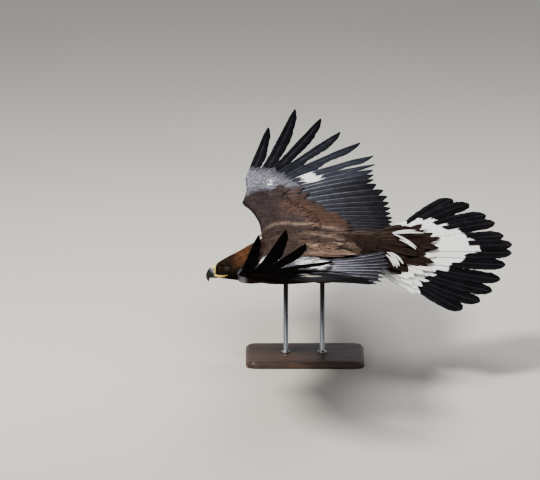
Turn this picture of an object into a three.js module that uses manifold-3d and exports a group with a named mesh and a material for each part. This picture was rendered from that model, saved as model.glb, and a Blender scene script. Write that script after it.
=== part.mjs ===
// A golden eagle in gliding flight, life size, on a plain display stand.
// Millimetres, +Z up. The bird faces -X, its right wing points to +Y and its left wing to -Y.
// The origin is the centre of the stand's underside, on the floor.
import * as THREE from "three";
import { mergeVertices } from "three/addons/utils/BufferGeometryUtils.js";
import Module from "manifold-3d";

const wasm = await Module();
wasm.setup();
const { Manifold } = wasm;

// Driving dimensions
const SHOULDER_Z = 330; // height of the shoulder plane over the floor
const GAP = 0.3; // between touching nodes
const TORSO_FRONT_X = -150;
const HEAD_BACK_X = -192;
const TORSO_BACK_X = 235;
const TAIL_CORE_BACK_X = 300;
const TAIL_TWIST = THREE.MathUtils.degToRad(27.5); // the tail is rolled about the body's axis
const VANE = 1.0; // thickness of a flight or tail feather's vane at its root
const COVERT = 0.9; // thickness of a covert's vane at its root
const SEED = 20417;

// Colours
const BROWN = 0x3a2a20;
const GOLD = 0x8a5a2e;
const SLATE = 0x2b2b30;
const WHITE = 0xe8e6e0;
const YELLOW = 0xd8b830;
const HORN = 0x22242a;
const IRIS = 0x5a3a18;
const STEEL = 0x8c9094;
const WALNUT = 0x4a3424;

const { lerp, clamp, smoothstep, degToRad } = THREE.MathUtils;
const v3 = (x, y, z) => new THREE.Vector3(x, y, z);

// A factor near 1 that varies by share, the same on every run
THREE.MathUtils.seededRandom(SEED);
const jitter = (share) => 1 + share * (2 * THREE.MathUtils.seededRandom() - 1);

// A smooth line through [station, value] pairs, read by station: a natural-looking cubic with no overshoot
function profile(points) {
  const slope = points.map((p, i) => {
    const a = points[Math.max(0, i - 1)];
    const b = points[Math.min(points.length - 1, i + 1)];
    return (b[1] - a[1]) / (b[0] - a[0]);
  });
  return (s) => {
    let i = 0;
    while (i < points.length - 2 && s > points[i + 1][0]) i += 1;
    const [x0, y0] = points[i];
    const [x1, y1] = points[i + 1];
    const w = x1 - x0;
    const t = clamp((s - x0) / w, 0, 1);
    const h1 = t * t * (3 - 2 * t);
    return (
      y0 * (1 - h1) +
      y1 * h1 +
      w * (slope[i] * (t * (1 - t) * (1 - t)) - slope[i + 1] * (t * t * (1 - t)))
    );
  };
}

// A closed solid from points and triangles, turned so that its faces point out
function solid(points, faces) {
  const position = new Float32Array(points.flatMap((p) => [p.x, p.y, p.z]));
  let volume = 0;
  for (const [a, b, c] of faces) {
    volume += points[a].dot(points[b].clone().cross(points[c]));
  }
  const index = faces.flatMap(([a, b, c]) => (volume < 0 ? [a, c, b] : [a, b, c]));
  const raw = new THREE.BufferGeometry();
  raw.setAttribute("position", new THREE.BufferAttribute(position, 3));
  raw.setIndex(index);
  return manifoldOf(raw);
}

function manifoldOf(geometry) {
  const bare = geometry.clone();
  bare.deleteAttribute("normal");
  bare.deleteAttribute("uv");
  const merged = mergeVertices(bare, 1e-4);
  return new Manifold(
    new wasm.Mesh({
      numProp: 3,
      vertProperties: merged.attributes.position.array,
      triVerts: new Uint32Array(merged.index.array),
    }),
  );
}

// A tube skinned over rings of points, with a fan over each end
function loft(rings) {
  const m = rings[0].length;
  const points = rings.flat();
  const faces = [];
  for (let i = 0; i < rings.length - 1; i += 1) {
    for (let j = 0; j < m; j += 1) {
      const k = (j + 1) % m;
      faces.push([i * m + j, i * m + k, (i + 1) * m + k]);
      faces.push([i * m + j, (i + 1) * m + k, (i + 1) * m + j]);
    }
  }
  const cap = (ring, base, flip) => {
    const centre = ring.reduce((a, p) => a.add(p), v3(0, 0, 0)).multiplyScalar(1 / m);
    const c = points.push(centre) - 1;
    for (let j = 0; j < m; j += 1) {
      const k = (j + 1) % m;
      faces.push(flip ? [c, base + k, base + j] : [c, base + j, base + k]);
    }
  };
  cap(rings[0], 0, true);
  cap(rings[rings.length - 1], (rings.length - 1) * m, false);
  return solid(points, faces);
}

// A thin plate between two grids of points, split into triangles alike on both faces
function slab(top, bottom) {
  const n = top.length;
  const m = top[0].length;
  const points = [...top.flat(), ...bottom.flat()];
  const at = (i, j) => i * m + j;
  const under = n * m;
  const faces = [];
  for (let i = 0; i < n - 1; i += 1) {
    for (let j = 0; j < m - 1; j += 1) {
      const [a, b, c, d] = [at(i, j), at(i + 1, j), at(i + 1, j + 1), at(i, j + 1)];
      faces.push([a, b, c], [a, c, d]);
      faces.push([a + under, c + under, b + under], [a + under, d + under, c + under]);
    }
  }
  const rim = [];
  for (let i = 0; i < n - 1; i += 1) rim.push(at(i, 0));
  for (let j = 0; j < m - 1; j += 1) rim.push(at(n - 1, j));
  for (let i = n - 1; i > 0; i -= 1) rim.push(at(i, m - 1));
  for (let j = m - 1; j > 0; j -= 1) rim.push(at(0, j));
  rim.forEach((a, r) => {
    const b = rim[(r + 1) % rim.length];
    faces.push([a, a + under, b + under], [a, b + under, b]);
  });
  return solid(points, faces);
}

// The largest closed body of a union, which drops scraps and fills sealed hollows
function joined(pieces, ...cutters) {
  let whole = Manifold.union(pieces);
  for (const cutter of cutters) whole = whole.subtract(cutter);
  const bodies = whole.decompose().sort((a, b) => b.volume() - a.volume());
  return bodies[0];
}

const eagle = new THREE.Group();

function place(name, body, color, roughness, metalness = 0) {
  const mesh = body.getMesh();
  const geometry = new THREE.BufferGeometry();
  geometry.setAttribute("position", new THREE.BufferAttribute(mesh.vertProperties, 3));
  geometry.setIndex(new THREE.BufferAttribute(mesh.triVerts, 1));
  geometry.computeVertexNormals();
  const material = new THREE.MeshStandardMaterial({ color, roughness, metalness });
  const node = new THREE.Mesh(geometry, material);
  node.name = name;
  eagle.add(node);
}

// Body: lines of the back, the underside and the half width along X, heights from the shoulder plane
const backLine = profile([
  [-262, -56], [-250, -46], [-238, -38], [-215, -25], [-196, -16], [-176, -5], [-150, 9],
  [-123, 20], [-72, 31], [-14, 36], [72, 37], [158, 32], [235, 21], [300, -1],
]);
const bellyLine = profile([
  [-262, -79], [-250, -87], [-225, -91], [-196, -94], [-150, -98], [-72, -103], [0, -100],
  [80, -90], [158, -72], [235, -46], [300, -15],
]);
const widthLine = profile([
  [-262, 12], [-250, 20], [-238, 25], [-222, 28], [-205, 30], [-190, 32], [-172, 38],
  [-150, 51], [-123, 65], [-72, 77], [0, 79], [72, 70], [158, 57], [235, 47], [300, 24],
]);
const SECTION_POWER = 0.92; // under 1, the sides of a section are fuller than an oval's
const twistAt = (x) => TAIL_TWIST * smoothstep(x, 60, TORSO_BACK_X);

// One ring of the body at x, grown by grow, with n points; sections are rounded, a little flat on the back
function bodyRing(x, n, grow = 0) {
  const top = backLine(x);
  const low = bellyLine(x);
  const middle = (top + low) / 2;
  const ring = [];
  for (let j = 0; j < n; j += 1) {
    const a = (j / n) * 2 * Math.PI;
    const y = (widthLine(x) + grow) * Math.sign(Math.cos(a)) * Math.abs(Math.cos(a)) ** SECTION_POWER;
    const z = ((top - low) / 2 + grow) * Math.sin(a);
    const t = twistAt(x);
    ring.push(
      v3(
        x,
        y * Math.cos(t) - z * Math.sin(t),
        SHOULDER_Z + middle + y * Math.sin(t) + z * Math.cos(t),
      ),
    );
  }
  return ring;
}

// Evenly spaced stations along a length of the body
const stations = (x0, x1, steps) => Array.from({ length: steps + 1 }, (_, i) => lerp(x0, x1, i / steps));
const NECK_STATIONS = stations(HEAD_BACK_X, TORSO_FRONT_X - GAP, 4);
const TORSO_STATIONS = stations(TORSO_FRONT_X, TORSO_BACK_X, 14);
const CORE_STATIONS = stations(TORSO_BACK_X + GAP, TAIL_CORE_BACK_X, 4);
const BODY_SIDES = 20;
const bodyLength = (xs, grow = 0) => loft(xs.map((x) => bodyRing(x, BODY_SIDES, grow)));

// What the wings, legs and rods are cut by, so that they meet the body with the gap
const bodyCutter = bodyLength([...NECK_STATIONS, ...TORSO_STATIONS, ...CORE_STATIONS], GAP);

// Wings. Stations are counted from the outermost primary to the innermost secondary.
const PRIMARIES = 10;
const SECONDARIES = 14;
const ROOT_H = 60; // spanwise place of the wing's root
const WRIST_H = 390;
const WRIST_X = -183;
const leadingEdge = profile([
  [40, -122], [60, -123], [190, -130], [250, -138], [330, -158], [370, -173], [390, -183],
  [405, -181], [476, -172], [545, -168], [590, -162],
]);
const coreChord = profile([[40, 140], [120, 140], [250, 128], [330, 112], [390, 96], [476, 78], [545, 48], [590, 16]]);
const coreThick = profile([[40, 38], [120, 34], [250, 29], [390, 26], [476, 20], [545, 15], [590, 8]]);

// Height of a wing over the shoulder plane at span h: the arm's slope turns into the hand's over BLEND
const BLEND = 50;
function wingRise(wing, h) {
  const t = h - WRIST_H;
  const turn = t < -BLEND ? 0 : t > BLEND ? t : (t + BLEND) ** 2 / (4 * BLEND);
  return wing.arm * (h - ROOT_H) + (wing.hand - wing.arm) * turn;
}

function wingPoint(wing, h, x, dz) {
  const swing = wing.swing * Math.max(0, (h - ROOT_H) / (WRIST_H - ROOT_H));
  const drop = wing.pitch * Math.max(0, x - WRIST_X);
  return v3(x + swing, wing.side * h, SHOULDER_Z + wingRise(wing, h) - drop + dz);
}

// Where a flight feather starts, the way it points, its length and how far its end bends up
const primaryAngle = profile([[0, 10.9], [1, 16.4], [2, 24], [4, 39.5], [5, 49], [6, 54.5], [7, 57.5], [9, 63]]);
const primaryLength = profile([[0, 313], [1, 440], [2, 484], [3, 496], [4, 489], [5, 462], [7, 412], [9, 386]]);
const primaryRoot = profile([[0, 18], [1, 32], [3, 36], [9, 44]]); // behind the wrist
const primaryBow = profile([[0, 11], [1, 5], [4, 2], [9, 0]]); // how far the middle bows forward
const primaryBend = profile([[0, 55], [1, 77], [2, 47], [3, 25], [4, 10], [5, 3], [9, 0]]);
const secondaryAngle = profile([[0, 66], [4, 84], [7, 95], [13, 102]]);
const secondaryShift = profile([[0, 0], [4, 12], [7, 29], [13, 46]]); // of the roots towards the wrist
const secondaryTip = profile([[0, 400], [2, 428], [5, 437], [9, 433], [13, 414]]);
const secondaryRoot = profile([[0, 50], [4, 84], [8, 112], [13, 112]]);

function flight(wing, station) {
  if (station < PRIMARIES) {
    const t = station / (PRIMARIES - 1);
    const length = primaryLength(station);
    return {
      station,
      h: WRIST_H + lerp(175, 10, t),
      x: WRIST_X + primaryRoot(station),
      angle: degToRad(primaryAngle(station) + wing.fingerTurn(station)),
      length,
      tip: length,
      bend: primaryBend(station) + wing.fingerLift(station),
      bow: primaryBow(station),
    };
  }
  const j = station - PRIMARIES;
  const x = secondaryRoot(j);
  const angle = degToRad(secondaryAngle(j) + wing.turn(j));
  const length = (secondaryTip(j) + wing.tuck(j) - x) / Math.sin(angle);
  return {
    station,
    h: WRIST_H + lerp(-8, -310, j / (SECONDARIES - 1)) + secondaryShift(j),
    x: WRIST_X + x,
    angle,
    length: length * jitter(0.012),
    tip: length,
    bend: wing.innerLift(j),
    bow: 0,
  };
}

const ARCH = 7; // how high a wing's vanes arch over its plane
const ARCH_LENGTH = 520; // the arch's whole run, from a feather's root
const BEND_FROM = 150; // where a long feather starts to bend up

// Tiers of a wing's feathers: each vane tilts so that it lies over its outer neighbour's inner web
const FLIGHT_TIER = { tilt: 0.12, step: 0.9, lift: 0 };
const GREATER_TIER = { tilt: 0.06, step: 0.9, lift: 5.4 };
const MEDIAN_TIER = { tilt: 0.06, step: 0.9, lift: 8.4 };

// A point of a wing feather: d along its shaft, w across it towards the body, raised by dz
function featherPoint(wing, f, tier, d, w, dz) {
  const share = clamp(d / f.length, 0, 1);
  const across = w - f.bow * 4 * share * (1 - share);
  const h = f.h + Math.cos(f.angle) * d - Math.sin(f.angle) * across;
  const x = f.x + Math.sin(f.angle) * d + Math.cos(f.angle) * across;
  const arch = ARCH * Math.sin((Math.PI * clamp(d, 0, ARCH_LENGTH)) / ARCH_LENGTH) ** 2;
  const bent = f.bend * (Math.max(0, d - BEND_FROM) / (f.tip - BEND_FROM)) ** 2;
  const lower = tier.step * Math.max(0, PRIMARIES - 1 - f.station);
  const lift = tier.lift * smoothstep(d, 0, 45) + arch + bent - lower - tier.tilt * w;
  return wingPoint(wing, h, x, lift + dz);
}

// A thin plate whose outline is given as [share of its length, outer width, inner width], thinner to its tip
function vane(pointAt, length, outline, thickness) {
  const face = (side) =>
    outline.map(([s, outer, inner]) => {
      const half = (side * thickness * lerp(1, 0.5, clamp(s, 0, 1))) / 2;
      return [pointAt(length * s, -outer, half), pointAt(length * s, inner, half)];
    });
  return slab(face(1), face(-1));
}

// Outlines: a finger is notched, so that it stands free of its neighbours; the others overlap to their tips
const FINGERS = 6;
const fingerNotch = profile([[0, 0.3], [1, 0.38], [2, 0.45], [3, 0.53], [4, 0.62], [5, 0.7]]);
const fingerOutline = (notch, width) => [
  [-0.05, 4, 5],
  [0.08, 9, 18],
  [notch - 0.14, 12 * width, 36 * width],
  [notch, 10 * width, 21 * width],
  [lerp(notch, 1, 0.5), 11 * width, 26 * width],
  [0.92, 7 * width, 16 * width],
  [1, 1, 3],
];
const BROAD_OUTLINE = [[-0.06, 4, 5], [0.14, 11, 36], [0.6, 13, 42], [0.85, 12, 32], [0.93, 10, 20], [0.975, 7, 10], [1, 1, 3]];
const SLENDER_OUTLINE = [[-0.06, 4, 5], [0.14, 11, 36], [0.6, 12, 40], [0.76, 11, 25], [0.92, 7, 14], [1, 1, 3]];
const SHORT_OUTLINE = [[-0.06, 4, 5], [0.2, 12, 36], [0.9, 12, 30], [0.955, 11, 14], [0.985, 7, 8], [1, 1, 2]];
const GREATER_OUTLINE = [[-0.02, 5, 8], [0.35, 11, 24], [0.88, 11, 20], [1, 3, 7]];
const MEDIAN_OUTLINE = [[0, 8, 12], [0.84, 11, 20], [1, 3, 7]];

function flightVane(wing, f) {
  const width = f.station === 0 ? 0.97 : 1.12;
  let outline = f.station < PRIMARIES ? BROAD_OUTLINE : SHORT_OUTLINE;
  if (f.station === FINGERS) outline = SLENDER_OUTLINE;
  if (f.station < FINGERS) outline = fingerOutline(fingerNotch(f.station), width);
  return vane((d, w, dz) => featherPoint(wing, f, FLIGHT_TIER, d, w, dz), f.length, outline, VANE);
}

// Coverts lie along the feather that they cover
const greaterLength = profile([[0, 120], [2, 150], [9, 150], [11, 140], [16, 150], [23, 152]]);
const medianLength = profile([[10, 92], [16, 112], [23, 116]]);

function covertVane(wing, f, tier, outline, length) {
  return vane((d, w, dz) => featherPoint(wing, f, tier, d, w, dz), length * jitter(0.04), outline, COVERT);
}

// The flesh and small feathers of the wing, with a blunt edge behind that the vanes leave
const CORE_SECTION = [
  [0, 0], [0.06, 0.3], [0.25, 0.55], [0.55, 0.46], [0.86, 0.27], [1, 0.17],
  [1, -0.13], [0.75, -0.24], [0.4, -0.42], [0.1, -0.3],
];
const CORE_SPANS = [45, 110, 180, 250, 320, 365, 400, 440, 500, 545, 590];

function wingCore(wing) {
  return loft(
    CORE_SPANS.map((h) =>
      CORE_SECTION.map(([along, depth]) =>
        wingPoint(wing, h, leadingEdge(h) + coreChord(h) * along, coreThick(h) * depth),
      ),
    ),
  );
}

// The wing is parted at the wrist along the line between the hand's feathers and the arm's
const PARTING = { h: 391, x: -137, angle: degToRad(64.5), reach: 800 };

// Everything on one side of the parting line: beyond it for the arm's cutter, within it for the hand's
function partingCutter(wing, beyond) {
  const { h, x, angle, reach } = PARTING;
  const across = [Math.sin(angle), -Math.cos(angle)]; // towards the body and back, as [span, -x]
  const shift = (beyond ? 1 : -1) * (reach - GAP / 2);
  const block = new THREE.BoxGeometry(2 * reach, 2 * reach, 2 * reach);
  block.rotateZ(wing.side * (Math.PI / 2 - angle));
  const centre = [x + wing.swing + across[1] * shift, wing.side * (h + across[0] * shift), SHOULDER_Z];
  return manifoldOf(block).translate(centre);
}

function buildWing(wing, isHand) {
  const stations = isHand ? [0, PRIMARIES] : [PRIMARIES, PRIMARIES + SECONDARIES];
  const vanes = [];
  for (let q = stations[0]; q < stations[1]; q += 1) {
    const f = flight(wing, q);
    vanes.push(flightVane(wing, f));
    vanes.push(covertVane(wing, f, GREATER_TIER, GREATER_OUTLINE, greaterLength(q)));
    if (!isHand) vanes.push(covertVane(wing, f, MEDIAN_TIER, MEDIAN_OUTLINE, medianLength(q)));
  }
  return joined([wingCore(wing), ...vanes], partingCutter(wing, !isHand), bodyCutter);
}

const WINGS = [
  {
    name: "right", side: 1, arm: 0.127, hand: 0.15, swing: 0, pitch: 0,
    fingerLift: () => 0, fingerTurn: () => 0, turn: () => 0, tuck: () => 0, innerLift: () => 0,
  },
  {
    name: "left", side: -1, arm: -0.012, hand: 0.36, swing: -11, pitch: 0.056,
    fingerLift: profile([[0, 17], [1, 9], [2, 1], [3, -18], [4, -28], [5, -22], [7, -9], [9, -2]]),
    fingerTurn: profile([[0, 0], [1, 0], [2, -2.8], [3, -2], [5, -0.6], [9, 0]]),
    turn: profile([[0, 0], [2, -5], [5, -7], [9, -3], [13, 0]]),
    tuck: profile([[0, -24], [2, -40], [4, -38], [7, -18], [10, -4], [13, 0]]),
    innerLift: profile([[0, 0], [7, 0], [13, 18]]),
  },
];

// Tail: a flat core, a pad where the feathers leave it and a fan of feathers, all rolled about the body's axis.
// Places in the fan's plane are given by x and by y, which grows to the right.
const TAIL_MIDDLE_X = 262; // where the fan's plane crosses the core's middle line
const TAIL_RISE = 0.015;
const TAIL_LAYER = 1.3; // between the middle planes of stacked vanes
const TAIL_PAD = { x: 264, z: -4, length: 30, width: 96, height: 10 };
const RECTRIX_ROOTS = [[256, 7], [255, 19], [253, 31], [250, 43], [246, 54], [240, 64]]; // from the middle out
const RECTRIX_TIPS = {
  right: [[596, 22], [573, 65], [549, 125], [524, 161], [476, 214], [428, 238]],
  left: [[594, 14], [575, 65], [558, 128], [533, 178], [497, 221], [445, 253]],
};
const RECTRIX_BOWS = { right: [0, 4, 10, 14, 14, 6], left: [0, 6, 8, 10, 12, 4] }; // outwards, in the middle
const RECTRIX_OUTLINE = [[0, 6, 6], [0.15, 10, 10], [0.35, 18, 19], [0.68, 25, 27], [0.9, 24, 26], [0.97, 15, 16], [1, 4, 4]];
const TAIL_COVERT_OUTLINE = [[0, 6, 6], [0.4, 17, 17], [0.75, 16, 16], [0.92, 8, 8], [1, 1.5, 1.5]];

function tailPoint(x, y, z) {
  const middle = (backLine(TAIL_MIDDLE_X) + bellyLine(TAIL_MIDDLE_X)) / 2;
  const rise = TAIL_RISE * (x - TAIL_MIDDLE_X);
  return v3(
    x,
    y * Math.cos(TAIL_TWIST) - z * Math.sin(TAIL_TWIST),
    SHOULDER_Z + middle + rise + y * Math.sin(TAIL_TWIST) + z * Math.cos(TAIL_TWIST),
  );
}

// A vane of the tail from root to tip, bowed to +y in the middle, in a plane that slopes from one height to another
function tailVane(root, tip, bow, outline, heights, thickness) {
  const length = Math.hypot(tip[0] - root[0], tip[1] - root[1]);
  const [cos, sin] = [(tip[0] - root[0]) / length, (tip[1] - root[1]) / length];
  const pointAt = (d, w, dz) => {
    const share = clamp(d / length, 0, 1);
    const across = w + bow * 4 * share * (1 - share);
    return tailPoint(
      root[0] + cos * d - sin * across,
      root[1] + sin * d + cos * across,
      lerp(heights[0], heights[1], share) + dz,
    );
  };
  return vane(pointAt, length, outline, thickness);
}

function tailFeathers() {
  return [["right", 1], ["left", -1]].flatMap(([name, side]) =>
    RECTRIX_ROOTS.map(([x, y], k) => {
      const [tipX, tipY] = RECTRIX_TIPS[name][k];
      const z = -TAIL_LAYER * (k === 0 && side > 0 ? 0 : k + 1);
      return tailVane([x, side * y], [tipX, side * tipY], side * RECTRIX_BOWS[name][k], RECTRIX_OUTLINE, [z, z], VANE);
    }),
  );
}

// Pointed coverts over the roots of the tail's feathers, in two rows as [root x, root y, tip x, tip y], and a row below
const UPPER_TAIL_COVERTS = [
  { heights: [5, 2.4], places: [
    [246, 24, 331, 108], [250, 18, 368, 75], [252, 12, 385, 48], [254, 2, 380, 10], [250, -12, 364, -62], [244, -24, 298, -99],
  ] },
  { heights: [10, 8.4], places: [[240, 22, 330, 60], [240, 4, 345, 24], [240, -14, 328, -42]] },
];
const UNDER_TAIL_COVERTS = { from: 252, count: 5, spread: 44, length: 118, heights: [-16, -12.4] };

function tailCoverts() {
  const upper = UPPER_TAIL_COVERTS.flatMap(({ heights, places }) =>
    places.map(([x0, y0, x1, y1], k) => {
      const up = 1.2 * (k % 2);
      return tailVane([x0, y0], [x1, y1], 0, TAIL_COVERT_OUTLINE, heights.map((z) => z + up), COVERT);
    }),
  );
  const { from, count, spread, length, heights } = UNDER_TAIL_COVERTS;
  const under = Array.from({ length: count }, (_, k) => {
    const share = (2 * k) / (count - 1) - 1;
    const angle = degToRad(spread * share);
    const reach = length * (1 - 0.12 * share * share);
    const tip = [from + Math.cos(angle) * reach, Math.sin(angle) * reach];
    return tailVane([from, 0], tip, 0, TAIL_COVERT_OUTLINE, heights.map((z) => z - 1.2 * (k % 2)), COVERT);
  });
  return [...upper, ...under];
}

// The fleshy root that the fan's feathers leave, a flat oval
function tailPad() {
  const oval = new THREE.SphereGeometry(1, 28, 12);
  const places = oval.attributes.position;
  for (let i = 0; i < places.count; i += 1) {
    const p = tailPoint(
      TAIL_PAD.x + TAIL_PAD.length * places.getX(i),
      TAIL_PAD.width * places.getZ(i),
      TAIL_PAD.z + TAIL_PAD.height * places.getY(i),
    );
    places.setXYZ(i, p.x, p.y, p.z);
  }
  const pad = manifoldOf(oval);
  return pad.volume() > 0 ? pad : manifoldOf(turned(oval));
}

// The same surface with its faces turned over
function turned(geometry) {
  const index = geometry.index;
  for (let i = 0; i < index.count; i += 3) {
    const a = index.getX(i);
    index.setX(i, index.getX(i + 1));
    index.setX(i + 1, a);
  }
  return geometry;
}

function buildTail() {
  const whole = joined([bodyLength(CORE_STATIONS), tailPad(), ...tailFeathers(), ...tailCoverts()]);
  return whole.trimByPlane([1, 0, 0], TORSO_BACK_X + GAP);
}

// Head: the body's lines carried on, with the brow, cheek and eye sockets
const EYE = { x: -222, y: 18, z: -55, radius: 11 };
const LID = { radius: 8.6, tube: 1.9, y: 26.5 };
const BROW = { from: v3(-250, 11, -49), over: v3(-229, 25, -43.5), to: v3(-204, 25.5, -50), radius: 4.5 };

function eyeball(side, grow) {
  const ball = new THREE.SphereGeometry(EYE.radius + grow, 12, 8);
  ball.rotateX(Math.PI / 2);
  return manifoldOf(ball).translate([EYE.x, side * EYE.y, SHOULDER_Z + EYE.z]);
}

// A tube along a smooth line through points given for the right side, with radii along it
function tube(points, radii, steps, sides, side = 1) {
  const curve = new THREE.CatmullRomCurve3(points.map((p) => v3(p.x, p.y * side, p.z)));
  const radius = profile(radii.map((r, i) => [i / (radii.length - 1), r]));
  const rings = [];
  for (let i = 0; i <= steps; i += 1) {
    const centre = curve.getPoint(i / steps);
    const along = curve.getTangent(i / steps);
    const across = v3(0, 1, 0).addScaledVector(along, -along.y).normalize();
    const up = along.clone().cross(across);
    const ring = [];
    for (let j = 0; j < sides; j += 1) {
      const a = (j / sides) * 2 * Math.PI;
      const reach = radius(i / steps);
      ring.push(
        centre
          .clone()
          .addScaledVector(across, Math.cos(a) * reach)
          .addScaledVector(up, Math.sin(a) * reach)
          .add(v3(0, 0, SHOULDER_Z)),
      );
    }
    rings.push(ring);
  }
  return loft(rings);
}

function lid(side) {
  const ring = new THREE.TorusGeometry(LID.radius, LID.tube, 5, 14);
  ring.rotateX(Math.PI / 2);
  return manifoldOf(ring).translate([EYE.x, side * LID.y, SHOULDER_Z + EYE.z]);
}

const HEAD_STATIONS = [-257, -252, -245, -237, -229, -221, -213, -204, HEAD_BACK_X - GAP];
const HEAD_SIDES = 20;
const grown = (radii) => radii.map((r) => r + GAP);
const skull = (grow) => loft(HEAD_STATIONS.map((x) => bodyRing(x, HEAD_SIDES, grow)));

function buildHead() {
  const brow = (side) => tube([BROW.from, BROW.over, BROW.to], [1.2, BROW.radius, 1.2], 6, 8, side);
  const raised = [1, -1].flatMap((side) => [brow(side), lid(side)]);
  return joined([skull(0), ...raised], eyeball(1, GAP), eyeball(-1, GAP), billCutter());
}

// Bill: a spine that hooks down, with oval sections
const billSpine = new THREE.CatmullRomCurve3([
  v3(-249, 0, -66), v3(-262, 0, -68), v3(-272, 0, -75), v3(-278, 0, -86), v3(-277, 0, -101),
]);
const billDepth = profile([[0, 15.5], [0.3, 13.5], [0.6, 9.5], [0.85, 5], [1, 0.6]]);
const billWidth = profile([[0, 13], [0.3, 11], [0.6, 7.6], [0.85, 3.8], [1, 0.6]]);
const BILL_POWER = 0.7; // the bill's sides are flatter than an oval's

// The half width of the skull's surface at a height
function sideAt(x, z) {
  const top = backLine(x);
  const low = bellyLine(x);
  const share = (2 * z - top - low) / (top - low);
  return widthLine(x) * Math.sqrt(Math.max(0, 1 - share * share)) ** SECTION_POWER;
}

// Soft edges of the mouth, above and below its line, from inside the bill back under the eye
const FLANGE_OUT = 0.5;
const onCheek = ([x, z]) => v3(x, sideAt(x, z) + FLANGE_OUT, z);
const UPPER_EDGE = [v3(-267, 7, -79), v3(-258, 12, -79.3), ...[[-248, -79.4], [-236, -78.3], [-222, -76.2]].map(onCheek)];
const LOWER_EDGE = [v3(-264, 5, -85), ...[[-254, -84.6], [-244, -84], [-229, -81.4]].map(onCheek)];
const UPPER_EDGE_RADII = [2.4, 2.6, 2.6, 2.2, 0.8];
const LOWER_EDGE_RADII = [1.8, 2, 1.9, 0.7];
const NOSTRIL = { x: -263, y: 12.5, z: -63, length: 3.2, height: 1.7, depth: 2.6 };

// An oval-sectioned length along a curve in the bird's middle plane
function ovalSweep(curve, steps, sides, deep, wide, grow) {
  const rings = [];
  for (let i = 0; i <= steps; i += 1) {
    const t = i / steps;
    const centre = curve.getPoint(t);
    const along = curve.getTangent(t);
    const across = v3(0, 1, 0);
    const up = along.clone().cross(across);
    const ring = [];
    for (let j = 0; j < sides; j += 1) {
      const a = (j / sides) * 2 * Math.PI;
      const out = Math.sign(Math.cos(a)) * Math.abs(Math.cos(a)) ** BILL_POWER;
      ring.push(
        centre
          .clone()
          .addScaledVector(across, out * (wide(t) + grow))
          .addScaledVector(up, Math.sin(a) * (deep(t) + grow))
          .add(v3(0, 0, SHOULDER_Z)),
      );
    }
    rings.push(ring);
  }
  return loft(rings);
}

const billCutter = () => ovalSweep(billSpine, 10, 16, billDepth, billWidth, GAP);

function nostril(side) {
  const hole = new THREE.SphereGeometry(1, 8, 6);
  hole.scale(NOSTRIL.length, NOSTRIL.depth, NOSTRIL.height);
  return manifoldOf(hole).translate([NOSTRIL.x, side * NOSTRIL.y, SHOULDER_Z + NOSTRIL.z]);
}

function buildUpperBill() {
  const corners = [1, -1].map((side) => tube(UPPER_EDGE, UPPER_EDGE_RADII, 7, 7, side));
  const bill = ovalSweep(billSpine, 10, 16, billDepth, billWidth, 0);
  const cutHead = skull(GAP).subtract(ovalSweep(billSpine, 10, 16, billDepth, billWidth, GAP));
  return joined([bill, ...corners], nostril(1), nostril(-1), cutHead);
}

const lowerSpine = new THREE.CatmullRomCurve3([v3(-244, 0, -81), v3(-258, 0, -83), v3(-272, 0, -88)]);
const lowerDepth = profile([[0, 7.5], [0.6, 6.5], [1, 1.5]]);
const lowerWidth = profile([[0, 14], [0.5, 10.5], [1, 3]]);

function buildLowerBill() {
  const lower = ovalSweep(lowerSpine, 6, 12, lowerDepth, lowerWidth, 0);
  const corners = [1, -1].map((side) => tube(LOWER_EDGE, LOWER_EDGE_RADII, 5, 6, side));
  const upperEdges = [1, -1].map((side) => tube(UPPER_EDGE, grown(UPPER_EDGE_RADII), 7, 7, side));
  return joined([lower, ...corners], skull(GAP), billCutter(), ...upperEdges);
}

// Legs are tucked back under the belly, with the toes closed. Points are for the right side, before the twist.
const LEG = [v3(-15, 40, -58), v3(40, 40, -68), v3(98, 36, -70), v3(150, 31, -67)];
const LEG_RADII = [12, 26, 18, 11];
const TOE_ROOT = v3(149, 31, -68);
const TOES = [
  { name: "inner", spread: -9, length: 33, radius: 5 },
  { name: "middle", spread: 0, length: 40, radius: 5 },
  { name: "outer", spread: 9, length: 33, radius: 4.6 },
  { name: "hind", spread: -3, length: 22, radius: 5.4, under: true },
];
const CLAW_LENGTH = 22;

// Carries a point given before the twist round the body's middle line
function twisted(p) {
  const middle = (backLine(p.x) + bellyLine(p.x)) / 2;
  const t = twistAt(p.x);
  const z = p.z - middle;
  return v3(p.x, p.y * Math.cos(t) - z * Math.sin(t), middle + p.y * Math.sin(t) + z * Math.cos(t));
}

// A tube on one side whose middle line follows the body's twist
function twistedTube(points, radii, steps, sides, side) {
  return tube(points.map((p) => twisted(v3(p.x, p.y * side, p.z))), radii, steps, sides);
}

// A toe's line, and its claw's line after it, curling down
function toeLine(toe) {
  const drop = toe.under ? -14 : 0;
  const root = TOE_ROOT.clone().add(v3(4, toe.spread * 0.5, drop * 0.4));
  const at = (s, z) => root.clone().add(v3(toe.length * s, toe.spread * s, drop * 0.6 * s + z));
  const end = at(1, -3);
  const clawRoot = end.clone().add(v3(-1, 0, 0));
  return {
    toe: [root, at(0.35, 2), at(0.7, 2), end],
    claw: [clawRoot, clawRoot.clone().add(v3(CLAW_LENGTH * 0.5, 0, -4)), clawRoot.clone().add(v3(CLAW_LENGTH * 0.8, 0, -13))],
  };
}

// The line moved on at its end by the gap, for the cutter that leaves the gap there
function reachedOn(points) {
  const [before, last] = points.slice(-2);
  const on = last.clone().addScaledVector(last.clone().sub(before).normalize(), GAP);
  return [...points.slice(0, -1), on];
}

const toeRadii = (toe) => [1, 1.05, 0.95, 0.7].map((share) => toe.radius * share);
const LEG_STEPS = 6;
const LEG_SIDES = 12;
const TOE_STEPS = 5;
const TOE_SIDES = 7;

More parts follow.
